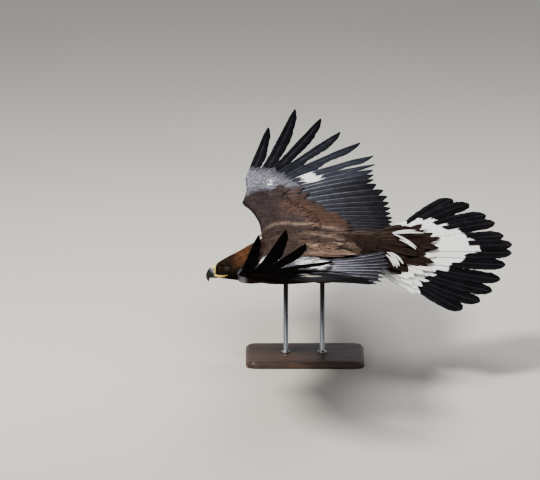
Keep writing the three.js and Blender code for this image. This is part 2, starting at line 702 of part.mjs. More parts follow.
const buildLeg = (side) => joined([twistedTube(LEG, LEG_RADII, LEG_STEPS, LEG_SIDES, side)], bodyCutter);
const legCutter = (side) => twistedTube(reachedOn(LEG), grown(LEG_RADII), LEG_STEPS, LEG_SIDES, side);

function buildFoot(side) {
  const palm = twistedTube(
    [TOE_ROOT, TOE_ROOT.clone().add(v3(8, 0, 0)), TOE_ROOT.clone().add(v3(16, 0, -1))],
    [9, 9.5, 6],
    4,
    10,
    side,
  );
  const toes = TOES.map((toe) => twistedTube(toeLine(toe).toe, toeRadii(toe), TOE_STEPS, TOE_SIDES, side));
  return joined([palm, ...toes], bodyCutter, legCutter(side));
}

function buildClaw(toe, side) {
  const line = toeLine(toe);
  const claw = twistedTube(line.claw, [0.62, 0.42, 0.08].map((share) => toe.radius * share), 4, TOE_SIDES, side);
  const toeCutter = twistedTube(reachedOn(line.toe), grown(toeRadii(toe)), TOE_STEPS, TOE_SIDES, side);
  return joined([claw], toeCutter);
}

// Stand: a flat base with rounded corners and two rods up to the belly
const BASE = { length: 340, width: 240, height: 20, corner: 30, bevel: 2 };
const RODS = [{ name: "front", x: -55 }, { name: "rear", x: 50 }];
const ROD_RADIUS = 7;

function buildBase() {
  const [a, b, r] = [BASE.length / 2 - BASE.bevel, BASE.width / 2 - BASE.bevel, BASE.corner];
  const outline = new THREE.Shape();
  outline.absarc(a - r, b - r, r, 0, Math.PI / 2);
  outline.absarc(r - a, b - r, r, Math.PI / 2, Math.PI);
  outline.absarc(r - a, r - b, r, Math.PI, 1.5 * Math.PI);
  outline.absarc(a - r, r - b, r, 1.5 * Math.PI, 2 * Math.PI);
  const plate = new THREE.ExtrudeGeometry(outline, {
    depth: BASE.height - 2 * BASE.bevel,
    bevelEnabled: true,
    bevelThickness: BASE.bevel,
    bevelSize: BASE.bevel,
    bevelSegments: 1,
    curveSegments: 5,
  });
  return manifoldOf(plate).translate([0, 0, BASE.bevel]);
}

function buildRod(rod) {
  const foot = BASE.height + GAP;
  const height = SHOULDER_Z - foot;
  const bar = new THREE.CylinderGeometry(ROD_RADIUS, ROD_RADIUS, height, 20);
  bar.rotateX(Math.PI / 2);
  return joined([manifoldOf(bar).translate([rod.x, 0, foot + height / 2])], bodyCutter);
}

place("torso", bodyLength(TORSO_STATIONS), BROWN, 0.8);
place("neck", bodyLength(NECK_STATIONS), GOLD, 0.8);
place("head", buildHead(), GOLD, 0.8);
place("bill_upper", buildUpperBill(), HORN, 0.35);
place("bill_lower", buildLowerBill(), HORN, 0.4);
for (const [name, side] of [["right", 1], ["left", -1]]) {
  place(`eye_${name}`, eyeball(side, 0), IRIS, 0.1);
  place(`leg_${name}`, buildLeg(side), BROWN, 0.8);
  place(`foot_${name}`, buildFoot(side), YELLOW, 0.6);
  for (const toe of TOES) place(`claw_${name}_${toe.name}`, buildClaw(toe, side), HORN, 0.3);
}
for (const wing of WINGS) {
  place(`wing_${wing.name}_arm`, buildWing(wing, false), SLATE, 0.7);
  place(`wing_${wing.name}_hand`, buildWing(wing, true), SLATE, 0.7);
}
place("tail", buildTail(), WHITE, 0.75);
place("stand_base", buildBase(), WALNUT, 0.5);
for (const rod of RODS) place(`stand_rod_${rod.name}`, buildRod(rod), STEEL, 0.35, 0.9);

export default eagle;
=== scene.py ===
"""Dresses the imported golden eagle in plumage, horn and skin, and sets it on its stand in a pale studio.

Sizes in the formulas are millimetres, the same ones as the solids are made from, and meshes are metres.
The bird faces -X, its right wing points to +Y and its left wing to -Y. The floor is at Z = 0.
"""

from __future__ import annotations

import logging
import math
from dataclasses import dataclass, field
from enum import Enum
from functools import partial
from typing import Callable, Sequence

import bpy  # noqa: E402
import numpy as np  # noqa: E402
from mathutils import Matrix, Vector  # noqa: E402

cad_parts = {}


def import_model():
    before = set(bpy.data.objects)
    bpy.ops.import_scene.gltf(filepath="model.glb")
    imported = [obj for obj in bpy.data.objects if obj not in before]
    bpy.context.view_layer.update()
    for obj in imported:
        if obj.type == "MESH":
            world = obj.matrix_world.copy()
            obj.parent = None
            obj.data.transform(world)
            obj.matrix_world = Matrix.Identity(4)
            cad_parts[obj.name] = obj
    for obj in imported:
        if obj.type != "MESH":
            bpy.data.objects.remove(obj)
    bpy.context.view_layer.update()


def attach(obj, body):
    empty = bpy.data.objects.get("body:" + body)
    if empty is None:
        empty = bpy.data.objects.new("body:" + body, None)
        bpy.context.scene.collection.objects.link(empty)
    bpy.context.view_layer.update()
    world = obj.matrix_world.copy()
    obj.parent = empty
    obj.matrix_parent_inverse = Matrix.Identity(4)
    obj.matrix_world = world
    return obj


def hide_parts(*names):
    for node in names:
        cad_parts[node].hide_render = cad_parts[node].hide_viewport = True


log = logging.getLogger("eagle")

MM = 0.001
VANE_CELL = 20.0  # millimetres in one unit of the vane map
SEED = 20417
ROOT_BODY = "root"

SHOULDER_Z = 330.0
TAIL_TWIST = math.radians(27.5)
WRIST_H, WRIST_X, ROOT_H = 390.0, -183.0, 60.0
FINGERS, PRIMARIES, SECONDARIES = 6, 10, 14

Array = np.ndarray
Generator = np.random.Generator
Mesh, Object = bpy.types.Mesh, bpy.types.Object
Material, Socket = bpy.types.Material, bpy.types.NodeSocket
Surface = Callable[[Array, Array], Array]


def linear(red: int, green: int, blue: int) -> Array:
    """A display colour, 0 to 255 a channel, as linear light."""
    c = np.array([red, green, blue], float) / 255
    return np.where(c <= 0.04045, c / 12.92, ((c + 0.055) / 1.055) ** 2.4)


def smoothstep(x: Array, low: float, high: float) -> Array:
    """0 before low and 1 after high, with the cubic 3t2 - 2t3 between them."""
    t = np.clip((np.asarray(x, float) - low) / (high - low), 0, 1)
    return t * t * (3 - 2 * t)


def ramp(x: float, low: float, high: float) -> float:
    """The same for one number."""
    return float(smoothstep(x, low, high))


def bell(x: Array, wide: float) -> Array:
    """1 at x = 0, falling to exp(-1) at the given width on each side."""
    return np.exp(-((x / wide) ** 2))


def smooth_max(a: Array, b: Array, blend: float) -> Array:
    """The larger of two values, rounded where they are closer to each other than the blend."""
    share = np.clip(0.5 + 0.5 * (a - b) / blend, 0, 1)
    return b * (1 - share) + a * share + blend * share * (1 - share)


def angles(count: int) -> Array:
    """Evenly spaced angles round a full turn."""
    return np.linspace(0, 2 * np.pi, count, endpoint=False)


def grid_of(a: Array, b: Array) -> Sequence[Array]:
    """Two grids, the first of which changes along the rows and the second along the columns."""
    return np.meshgrid(a, b, indexing="ij")


def mix(a: Array, b: Array, share: Array) -> Array:
    """Colour a turned towards colour b by share. Each may be one value or an array of them."""
    share = np.asarray(share, float)[..., None]
    return a * (1 - share) + b * share


def unit(v: Array) -> Array:
    """Vectors scaled to length 1."""
    return v / np.maximum(np.linalg.norm(v, axis=-1, keepdims=True), 1e-9)


class Profile:
    """A smooth cubic line through (station, value) pairs, flat beyond its ends."""

    def __init__(self, *pairs: tuple[float, float]) -> None:
        """Takes the pairs and works out the slope at each from its neighbours."""
        self.s = np.array([p[0] for p in pairs], float)
        self.v = np.array([p[1] for p in pairs], float)
        last = len(pairs) - 1
        before = np.maximum(np.arange(len(pairs)) - 1, 0)
        after = np.minimum(np.arange(len(pairs)) + 1, last)
        self.slope = (self.v[after] - self.v[before]) / (self.s[after] - self.s[before])

    def __call__(self, s: Array | float) -> Array:
        """The value at s: y0(1-h) + y1 h + w(m0 t(1-t)2 - m1 t2(1-t)) with h = t2(3-2t)."""
        s = np.asarray(s, float)
        i = np.clip(np.searchsorted(self.s, s, side="left") - 1, 0, len(self.s) - 2)
        w = self.s[i + 1] - self.s[i]
        t = np.clip((s - self.s[i]) / w, 0, 1)
        h = t * t * (3 - 2 * t)
        bent = self.slope[i] * t * (1 - t) ** 2 - self.slope[i + 1] * t * t * (1 - t)
        return self.v[i] * (1 - h) + self.v[i + 1] * h + w * bent


# Colours of the plumage


def entry(red: int, green: int, blue: int) -> Array:
    """A palette entry made from a display colour."""
    return field(default_factory=lambda: linear(red, green, blue))


@dataclass(frozen=True)
class Palette:
    """The plumage's colours, in linear light."""

    crown: Array = entry(38, 27, 22)
    face: Array = entry(34, 27, 22)
    gold: Array = entry(90, 58, 36)
    # throat and belly: the underparts' own dark brown, made darker still by painted shade
    throat: Array = entry(18, 15, 13)
    mantle: Array = entry(50, 40, 37)
    # pale brown of feather edges, also brightened for painted highlights on the back, the scapulars and the
    # far wing's ridge
    fold: Array = entry(112, 94, 82)
    belly: Array = entry(30, 22, 18)
    rump: Array = entry(32, 23, 20)
    rust: Array = entry(96, 71, 57)
    patagium: Array = entry(50, 43, 44)
    grey: Array = entry(136, 135, 146)
    slate: Array = entry(40, 40, 45)
    # painted sheen: pale blue-grey that stands in for light reflected off glossy vanes and coverts
    sheen: Array = entry(128, 129, 138)
    black: Array = entry(13, 13, 16)
    # painted reflection: the blue-grey of sky light on the primaries and their edges
    blue: Array = entry(50, 56, 70)
    # painted shade: near-black for wing undersides, painted as if they lay in shadow
    under: Array = entry(12, 11, 12)
    white: Array = entry(242, 241, 238)
    cream: Array = entry(214, 200, 172)


PALETTE = Palette()


# Mesh data


@dataclass
class Batch:
    """Closed shapes of one piece: points in millimetres, quads, and what each point carries."""

    points: Array
    quads: Array
    colour: Array
    white: Array
    vane: Array
    bake: Array  # for each corner of each quad

    def oriented(self) -> "Batch":
        """The batch with its faces turned outwards, judged by the sign of its volume."""
        if six_volumes(self.points, self.quads) < 0:
            self.quads = self.quads[:, ::-1].copy()
            self.bake = self.bake[:, ::-1].copy()
        return self


def six_volumes(points: Array, faces: Array) -> float:
    """Six times the volume inside closed faces of three or four corners, negative where they face inwards."""
    p = points[faces]
    fans = range(1, faces.shape[1] - 1)
    return sum(np.einsum("ij,ij->", p[:, 0], np.cross(p[:, k], p[:, k + 1])) for k in fans)


def joined(batches: Sequence[Batch]) -> Batch:
    """Several batches as one, with their corners renumbered."""
    starts = np.cumsum([0] + [len(b.points) for b in batches[:-1]])
    whole = {key: np.concatenate([getattr(b, key) for b in batches]) for key in Batch.__dataclass_fields__}
    whole["quads"] = np.concatenate([b.quads + s for b, s in zip(batches, starts)])
    return Batch(**whole)


def lens_quads(rows: int, columns: int) -> tuple[Array, Array, int]:
    """A thin closed lens over a grid: the underside shares the top's rim and has inner points of its own.

    Args:
        rows: points along the lens.
        columns: points across it.

    Returns:
        The quads of the top, those of the underside, and how many points the lens has.
    """
    top = np.arange(rows * columns).reshape(rows, columns)
    low = top.copy()
    inner = (rows - 2) * (columns - 2)
    low[1:-1, 1:-1] = rows * columns + np.arange(inner).reshape(rows - 2, columns - 2)

    def quads(g: Array, flip: bool) -> Array:
        """The quads between neighbouring points, turned over for the underside."""
        q = np.stack([g[:-1, :-1], g[1:, :-1], g[1:, 1:], g[:-1, 1:]], -1).reshape(-1, 4)
        return q[:, ::-1] if flip else q

    return quads(top, False), quads(low, True), rows * columns + inner


def fresh_object(name: str, points: Array, faces: Sequence[Array]) -> Object:
    """Puts an object with a new smooth mesh in the scene.

    Args:
        name: of the object and its mesh.
        points: in millimetres.
        faces: their corners, one array for the faces of each size.

    Returns:
        The object.
    """
    mesh = bpy.data.meshes.new(name)
    sizes = np.concatenate([np.full(len(same), same.shape[1]) for same in faces])
    loops = np.concatenate([same.ravel() for same in faces])
    mesh.vertices.add(len(points))
    mesh.vertices.foreach_set("co", (points * MM).astype(np.float32).ravel())
    mesh.loops.add(len(loops))
    mesh.loops.foreach_set("vertex_index", loops.astype(np.int32))
    mesh.polygons.add(len(sizes))
    mesh.polygons.foreach_set("loop_start", (np.cumsum(sizes) - sizes).astype(np.int32))
    mesh.polygons.foreach_set("use_smooth", np.ones(len(sizes), bool))
    mesh.update(calc_edges=True)
    made = bpy.data.objects.new(name, mesh)
    bpy.context.scene.collection.objects.link(made)
    return made


def set_colour(mesh: Mesh, name: str, colour: Array) -> None:
    """Stores a linear colour at each point, or the same one at all of them."""
    layer = mesh.attributes.new(name, "FLOAT_COLOR", "POINT")
    four = np.ones((len(mesh.vertices), 4))
    four[:, :3] = colour
    layer.data.foreach_set("color", four.astype(np.float32).ravel())


def set_value(mesh: Mesh, name: str, value: Array) -> None:
    """Stores a number at each point."""
    mesh.attributes.new(name, "FLOAT", "POINT").data.foreach_set("value", value.astype(np.float32))


def set_map(mesh: Mesh, name: str, corners: Array) -> None:
    """Stores a UV map given corner by corner."""
    layer = mesh.uv_layers.new(name=name, do_init=False)
    layer.uv.foreach_set("vector", corners.astype(np.float32).ravel())


def dress(made: Object, finish: Material) -> None:
    """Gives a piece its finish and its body."""
    made.data.materials.append(finish)
    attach(made, ROOT_BODY)
    log.info("%s: %d faces", made.name, len(made.data.polygons))


def plumage_piece(name: str, batch: Batch, finish: Material) -> Object:
    """Makes a piece of feathers from a batch.

    Args:
        name: of the piece.
        batch: its points, quads, colours, white marking, vane map and bake map.
        finish: its material.

    Returns:
        The piece, on the frame.
    """
    made = fresh_object(name, batch.points, [batch.quads])
    set_colour(made.data, "plumage", batch.colour)
    set_value(made.data, "white", batch.white)
    set_map(made.data, "Vane", batch.vane[batch.quads].reshape(-1, 2))
    set_map(made.data, "OFBake", batch.bake.reshape(-1, 2))
    dress(made, finish)
    return made


# Finishes


class Nodes:
    """A material's node tree, with short ways to add and join nodes."""

    def __init__(self, name: str) -> None:
        """Starts an empty material with one shader."""
        self.material = bpy.data.materials.new(name)
        self.material.use_nodes = True
        self.tree = self.material.node_tree
        self.shader = self.tree.nodes["Principled BSDF"]

    def add(self, kind: str, **settings: object) -> bpy.types.Node:
        """Adds a node and sets its properties."""
        node = self.tree.nodes.new(kind)
        for key, value in settings.items():
            setattr(node, key, value)
        return node

    def feed(self, socket: Socket, source: object) -> None:
        """Joins a source to a socket, or sets the socket's own value."""
        if isinstance(source, Socket):
            self.tree.links.new(source, socket)
        else:
            socket.default_value = source

    def math(self, operation: str, *inputs: object) -> Socket:
        """A sum, product or other step of arithmetic on one to three inputs."""
        node = self.add("ShaderNodeMath", operation=operation)
        for socket, source in zip(node.inputs, inputs):
            self.feed(socket, source)
        return node.outputs[0]

    def noise(self, vector: object, scale: float, detail: float, rough: float = 0.5) -> Socket:
        """A noise between 0 and 1 at the given points."""
        node = self.add("ShaderNodeTexNoise")
        self.feed(node.inputs["Vector"], vector)
        node.inputs["Scale"].default_value = scale
        node.inputs["Detail"].default_value = detail
        node.inputs["Roughness"].default_value = rough
        return node.outputs["Fac"]

    def spread(self, value: object, a0: float, a1: float, b0: float, b1: float) -> Socket:
        """A value carried from the range a0..a1 to b0..b1, smoothly, and held at the ends.

        Args:
            value: the socket or number to carry.
            a0: start of its range.
            a1: end of its range.
            b0: what the start becomes.
            b1: what the end becomes.

        Returns:
            The socket of the result.
        """
        node = self.add("ShaderNodeMapRange", interpolation_type="SMOOTHSTEP")
        for socket, source in zip(node.inputs, (value, a0, a1, b0, b1)):
            self.feed(socket, source)
        return node.outputs[0]

    def blend(self, share: object, a: object, b: object, kind: str = "MIX") -> Socket:
        """Colour a turned towards colour b by share."""
        node = self.add("ShaderNodeMix", data_type="RGBA", blend_type=kind)
        self.feed(node.inputs["Factor"], share)
        self.feed(node.inputs["A"], a)
        self.feed(node.inputs["B"], b)
        return node.outputs["Result"]

    def surface(self, **values: object) -> None:
        """Sets the shader's sockets. An underscore in a key stands for a space in the socket's name."""
        for key, value in values.items():
            self.feed(self.shader.inputs[key.replace("_", " ")], value)

    def bump(self, height: object, strength: float, distance: float) -> None:
        """Raises the surface by height, in metres times distance."""
        node = self.add("ShaderNodeBump")
        node.inputs["Strength"].default_value = strength
        node.inputs["Distance"].default_value = distance
        self.feed(node.inputs["Height"], height)
        self.feed(self.shader.inputs["Normal"], node.outputs["Normal"])

    def place(self) -> Socket:
        """The piece's own coordinates."""
        return self.add("ShaderNodeTexCoord").outputs["Object"]

    def shaded(self, name: str, shade: object) -> Socket:
        """A colour stored on the mesh, made lighter or darker by a factor."""
        stored = self.add("ShaderNodeAttribute", attribute_name=name).outputs["Color"]
        grey = self.add("ShaderNodeCombineXYZ")
        for socket in grey.inputs:
            self.feed(socket, shade)
        return self.blend(1.0, stored, grey.outputs[0], "MULTIPLY")

    def stretched(self, scale: tuple[float, float, float]) -> Socket:
        """The piece's own coordinates, scaled."""
        node = self.add("ShaderNodeMapping")
        self.feed(node.inputs["Vector"], self.place())
        node.inputs["Scale"].default_value = scale
        return node.outputs[0]

    def value_attribute(self, name: str) -> Socket:
        """A number stored on the mesh."""
        return self.add("ShaderNodeAttribute", attribute_name=name).outputs["Fac"]


def rgba(colour: Array) -> tuple[float, float, float, float]:
    """A linear colour as a socket takes it."""
    return (float(colour[0]), float(colour[1]), float(colour[2]), 1.0)


@dataclass(frozen=True)
class PlumageFinish:
    """Feathers: the stored colour, broken by barbs that run out from the shaft, without a gloss."""

    name: str
    roughness: float
    streak: float
    barbs: float

    def build(self) -> Material:
        """Builds the material. Along a barb d - 1.1|w| stays the same, d along the shaft and w across it."""
        n = Nodes(self.name)
        parts = n.add("ShaderNodeSeparateXYZ")
        n.feed(parts.inputs[0], n.add("ShaderNodeUVMap", uv_map="Vane").outputs[0])
        side = n.math("ABSOLUTE", parts.outputs["X"])
        along = n.math("SUBTRACT", parts.outputs["Y"], n.math("MULTIPLY", side, 1.1))
        barb = n.add("ShaderNodeCombineXYZ")
        n.feed(barb.inputs["X"], n.math("MULTIPLY", along, 5.0))
        n.feed(barb.inputs["Y"], n.math("MULTIPLY", side, 0.7))
        n.feed(barb.inputs["Z"], n.math("MULTIPLY", parts.outputs["Y"], 0.13))
        fine = n.noise(barb.outputs[0], 1.6, 3.0, 0.65)
        broad = n.noise(n.place(), 42.0, 2.0)
        shade = n.spread(fine, 0.3, 0.7, 1 - self.streak, 1 + self.streak)
        shade = n.math("MULTIPLY", shade, n.spread(broad, 0.3, 0.7, 0.82, 1.18))
        base = n.shaded("plumage", shade)
        ragged = n.math("MULTIPLY", n.math("SUBTRACT", fine, 0.5), 0.7)
        # the stored white share holds real white markings and painted glints alike
        white_and_glints = n.math("ADD", n.value_attribute("white"), ragged)
        pale = n.blend(n.spread(fine, 0.25, 0.6, 0.0, 1.0), rgba(linear(206, 204, 202)), rgba(PALETTE.white))
        colour = n.blend(n.spread(white_and_glints, 0.3, 0.75, 0.0, 1.0), base, pale)
        rough = n.spread(fine, 0.2, 0.8, self.roughness - 0.1, self.roughness + 0.12)
        n.surface(Base_Color=colour, Roughness=rough, Specular_IOR_Level=0.0)
        n.bump(fine, self.barbs, 0.0012)
        return n.material


# Forms that the solids are made from


class BodyForm:
    """The body from the face to the root of the tail, as rings along X."""

    back = Profile(
        (-262, -56), (-250, -46), (-238, -38), (-215, -25), (-196, -16), (-176, -5), (-150, 9),
        (-123, 20), (-72, 31), (-14, 36), (72, 37), (158, 32), (235, 21), (300, -1),
    )
    underside = Profile(
        (-262, -79), (-250, -87), (-225, -91), (-196, -94), (-150, -98), (-72, -103), (0, -100),
        (80, -90), (158, -72), (235, -46), (300, -15),
    )
    width = Profile(
        (-262, 12), (-250, 20), (-238, 25), (-222, 28), (-205, 30), (-190, 32), (-172, 38),
        (-150, 51), (-123, 65), (-72, 77), (0, 79), (72, 70), (158, 57), (235, 47), (300, 24),
    )
    power = 0.92

    def middle(self, x: Array) -> Array:
        """Height of the section's middle over the shoulder plane."""
        return (self.back(x) + self.underside(x)) / 2

    def half(self, x: Array) -> Array:
        """Half the height of the section."""
        return (self.back(x) - self.underside(x)) / 2

    def twist(self, x: Array) -> Array:
        """The roll of the section about the middle line, which grows towards the tail."""
        return TAIL_TWIST * smoothstep(x, 60, 235)

    def rolled(self, x: Array, y: Array, z: Array) -> Array:
        """A point given beside and over the middle line, rolled with the section there."""
        t = self.twist(x)
        high = SHOULDER_Z + self.middle(x) + y * np.sin(t) + z * np.cos(t)
        return np.stack([x + 0 * y, y * np.cos(t) - z * np.sin(t), high], -1)

    def surface(self, x: Array, a: Array, grow: float = 0.0) -> Array:
        """The body's skin: y = w sgn(cos a)|cos a|^0.92 and z = half sin a, then the roll.

        Args:
            x: place along the body.
            a: angle round the section.
            grow: how far the section is widened on all sides.

        Returns:
            The points.
        """
        c = np.cos(a)
        y = (self.width(x) + grow) * np.sign(c) * np.abs(c) ** self.power
        return self.rolled(x, y, (self.half(x) + grow) * np.sin(a))

    def top_height(self, x: Array, y: Array) -> Array:
        """Height of the upper surface over a place, found by rolling it back a few times."""
        t = self.twist(x)
        w, half = self.width(x), self.half(x)
        z = half * np.sqrt(np.clip(1 - (y / w) ** 2, 0.0004, 1))
        for _ in range(5):
            across = np.clip((y + z * np.sin(t)) / np.cos(t) / w, -1, 1)
            z = half * np.sqrt(np.clip(1 - np.abs(across) ** (2 / self.power), 0.0004, 1))
        return SHOULDER_Z + self.middle(x) + across * w * np.sin(t) + z * np.cos(t)


BODY = BodyForm()


@dataclass(frozen=True)
class Tier:
    """A layer of a wing's feathers: a vane's lean, the step down to the next in the hand, and the height."""

    tilt: float
    step: float
    lift: float


FLIGHT = Tier(0.04, 0.9, 0.0)
GREATER = Tier(0.06, 0.9, 5.4)
MEDIAN = Tier(0.06, 0.9, 8.4)
UNDER_GREATER = Tier(0.06, 0.9, -4.6)
UNDER_MEDIAN = Tier(0.06, 0.9, -7.4)


@dataclass(frozen=True)
class Quill:
    """Where a flight feather starts, the way it points, its length, its bend up and its bow."""

    station: float
    h: float
    x: float
    angle: float
    length: float
    bend: float
    bow: float


def vane_arch(d: Array) -> Array:
    """How far a vane arches up at d along it: 7 sin2, back to nothing after 520."""
    return 7 * np.sin(np.pi * np.clip(d, 0, 520) / 520) ** 2


ZERO = Profile((0, 0), (1, 0))

PRIMARY_ANGLE = Profile((0, 10.9), (1, 16.4), (2, 24), (4, 39.5), (5, 49), (6, 54.5), (7, 57.5), (9, 63))
PRIMARY_LENGTH = Profile((0, 313), (1, 440), (2, 484), (3, 496), (4, 489), (5, 462), (7, 412), (9, 386))
PRIMARY_ROOT = Profile((0, 18), (1, 32), (3, 36), (9, 44))
PRIMARY_BOW = Profile((0, 11), (1, 5), (4, 2), (9, 0))
PRIMARY_BEND = Profile((0, 55), (1, 77), (2, 47), (3, 25), (4, 10), (5, 3), (9, 0))
SECONDARY_ANGLE = Profile((0, 66), (4, 84), (7, 95), (13, 102))
SECONDARY_SHIFT = Profile((0, 0), (4, 12), (7, 29), (13, 46))
SECONDARY_TIP = Profile((0, 400), (2, 428), (5, 437), (9, 433), (13, 414))
SECONDARY_ROOT = Profile((0, 50), (4, 84), (8, 112), (13, 112))
FINGER_NOTCH = Profile((0, 0.3), (1, 0.38), (2, 0.45), (3, 0.53), (4, 0.62), (5, 0.7))
GREATER_LENGTH = Profile((0, 120), (2, 150), (9, 150), (11, 145), (14, 165), (18, 198), (23, 214))
MEDIAN_LENGTH = Profile((0, 62), (9, 84), (10, 92), (16, 112), (23, 116))


@dataclass(frozen=True)
class WingForm:
    """One wing's pose and its lines."""

    name: str
    side: int
    arm: float
    hand: float
    swing: float = 0.0
    pitch: float = 0.0
    finger_lift: Profile = ZERO
    finger_turn: Profile = ZERO
    turn: Profile = ZERO
    tuck: Profile = ZERO
    inner_lift: Profile = ZERO

    leading = Profile(
        (40, -122), (60, -123), (190, -130), (250, -138), (330, -158), (370, -173), (390, -183),
        (405, -181), (476, -172), (545, -168), (590, -162),
    )
    chord = Profile(
        (40, 140), (120, 140), (250, 128), (330, 112), (390, 96), (476, 78), (545, 48), (590, 16),
    )
    thick = Profile((40, 38), (120, 34), (250, 29), (390, 26), (476, 20), (545, 15), (590, 8))
    upper = Profile((0, 0), (0.06, 0.3), (0.25, 0.55), (0.55, 0.46), (0.86, 0.29), (1, 0.24), (1.6, 0.12))
    lower = Profile((0, 0), (0.1, -0.3), (0.4, -0.42), (0.75, -0.24), (1, -0.16), (1.6, -0.1))
    blend_span = 50.0

    def rise(self, h: Array) -> Array:
        """Height of the wing's plane at span h: the arm's slope turns into the hand's near the wrist."""
        t = h - WRIST_H
        b = self.blend_span
        turn = np.where(t < -b, 0, np.where(t > b, t, (t + b) ** 2 / (4 * b)))
        return self.arm * (h - ROOT_H) + (self.hand - self.arm) * turn

    def point(self, h: Array, x: Array, dz: Array) -> Array:
        """The place at span h and x, dz over the wing's plane."""
        swing = self.swing * np.maximum(0, (h - ROOT_H) / (WRIST_H - ROOT_H))
        drop = self.pitch * np.maximum(0, x - WRIST_X)
        z = SHOULDER_Z + self.rise(h) - drop + dz
        return np.stack(np.broadcast_arrays(x + swing, self.side * h, z), -1)

    def share(self, h: Array, x: Array) -> Array:
        """How far x is along the wing's core at span h."""
        return (x - self.leading(h)) / self.chord(h)

    def face(self, top: bool) -> Surface:
        """The core's upper or lower surface, read by span and x."""
        line = self.upper if top else self.lower

        def surface(h: Array, x: Array) -> Array:
            """The place at span h and x."""
            return self.point(h, x, self.thick(h) * line(self.share(h, x)))

        return surface

    def quill(self, station: float) -> Quill:
        """The flight feather at a station, counted from the outermost primary inwards."""
        if station < PRIMARIES:
            t = station / (PRIMARIES - 1)
            return Quill(
                station,
                WRIST_H + 175 + (10 - 175) * t,
                WRIST_X + float(PRIMARY_ROOT(station)),
                math.radians(float(PRIMARY_ANGLE(station) + self.finger_turn(station))),
                float(PRIMARY_LENGTH(station)),
                float(PRIMARY_BEND(station) + self.finger_lift(station)),
                float(PRIMARY_BOW(station)),
            )
        j = station - PRIMARIES
        root = float(SECONDARY_ROOT(j))
        angle = math.radians(float(SECONDARY_ANGLE(j) + self.turn(j)))
        length = (float(SECONDARY_TIP(j) + self.tuck(j)) - root) / math.sin(angle)
        h = WRIST_H - 8 + (-310 + 8) * j / (SECONDARIES - 1) + float(SECONDARY_SHIFT(j))
        return Quill(station, h, WRIST_X + root, angle, length, float(self.inner_lift(j)), 0.0)

    def feather_point(self, f: Quill, tier: Tier, d: Array, w: Array, dz: Array) -> Array:
        """A point of a feather: d along its shaft, w across it towards the body, raised by dz.

        The shaft bows forward by bow 4s(1-s), arches over its run and bends up by a square after 150.

        Args:
            f: the flight feather, or the one whose covert this is.
            tier: the layer it belongs to.
            d: distance along the shaft.
            w: distance across it.
            dz: height over the vane's middle surface.

        Returns:
            The points.
        """
        s = np.clip(d / f.length, 0, 1)
        across = w - f.bow * 4 * s * (1 - s)
        h = f.h + math.cos(f.angle) * d - math.sin(f.angle) * across
        x = f.x + math.sin(f.angle) * d + math.cos(f.angle) * across
        bent = f.bend * (np.maximum(0, d - 150) / (f.length - 150)) ** 2
        lower = tier.step * max(0.0, PRIMARIES - 1 - f.station)
        lift = tier.lift * smoothstep(d, 0, 45) + vane_arch(d) + bent - lower - tier.tilt * w
        return self.point(h, x, lift + dz)


WINGS = (
    WingForm("right", 1, 0.127, 0.15),
    WingForm(
        "left", -1, -0.012, 0.36, -11.0, 0.056,
        Profile((0, 17), (1, 9), (2, 1), (3, -18), (4, -28), (5, -22), (7, -9), (9, -2)),
        Profile((0, 0), (1, 0), (2, -2.8), (3, -2), (5, -0.6), (9, 0)),
        Profile((0, 0), (2, -5), (5, -7), (9, -3), (13, 0)),
        Profile((0, -24), (2, -40), (4, -38), (7, -18), (10, -4), (13, 0)),
        Profile((0, 0), (7, 0), (13, 18)),
    ),
)


@dataclass(frozen=True)
class TailForm:
    """The fan of the tail: places in its plane are given by x and by y, which grows to the right."""

    middle_x: float = 262.0
    rise: float = 0.015
    layer: float = 1.3
    roots: tuple = ((256, 7), (255, 19), (253, 31), (250, 43), (246, 54), (240, 64))
    right_tips: tuple = (
        (596, 22, 0), (573, 65, 4), (549, 125, 10), (524, 161, 14), (476, 214, 14), (428, 238, 6),
    )
    left_tips: tuple = (
        (594, 14, 0), (575, 65, 6), (558, 128, 8), (533, 178, 10), (497, 221, 12), (445, 253, 4),
    )

    def point(self, x: Array, y: Array, z: Array) -> Array:
        """A place in the tail's plane, which slopes by its rise and is rolled with the body."""
        lift = BODY.middle(self.middle_x) + self.rise * (x - self.middle_x)
        c, s = math.cos(TAIL_TWIST), math.sin(TAIL_TWIST)
        return np.stack(np.broadcast_arrays(x, y * c - z * s, SHOULDER_Z + lift + y * s + z * c), -1)


TAIL = TailForm()


# Big feathers


@dataclass(frozen=True)
class Outline:
    """The edge of a vane: [share of the length, outer width, inner width] in rows."""

    rows: tuple[tuple[float, float, float], ...]
    tip: float = 0.96

    def widths(self, s: Array) -> tuple[Array, Array]:
        """Outer and inner width at shares s, rounded off by a quarter ellipse after the tip share."""
        table = np.array(self.rows)
        end = np.clip((s - self.tip) / (1 - self.tip), 0, 1)
        round_off = np.sqrt(np.maximum(1 - end**2, 0.0004))
        outer = np.interp(s, table[:, 0], table[:, 1]) * round_off
        inner = np.interp(s, table[:, 0], table[:, 2]) * round_off
        return outer, inner


def finger_outline(station: int) -> Outline:
    """The outline of a notched primary, narrow beyond its notch. The outermost one is the slimmest."""
    notch = float(FINGER_NOTCH(station))
    k = 0.97 if station == 0 else 1.12
    return Outline(
        (
            (-0.05, 4, 5), (0.08, 9, 18), (notch - 0.14, 12 * k, 36 * k), (notch - 0.03, 10.5 * k, 25 * k),
            (notch + 0.02, 10 * k, 21.5 * k), ((notch + 1) / 2, 11 * k, 26 * k), (0.92, 7 * k, 16 * k),
            (1, 1.5, 4),
        ),
        0.985,
    )


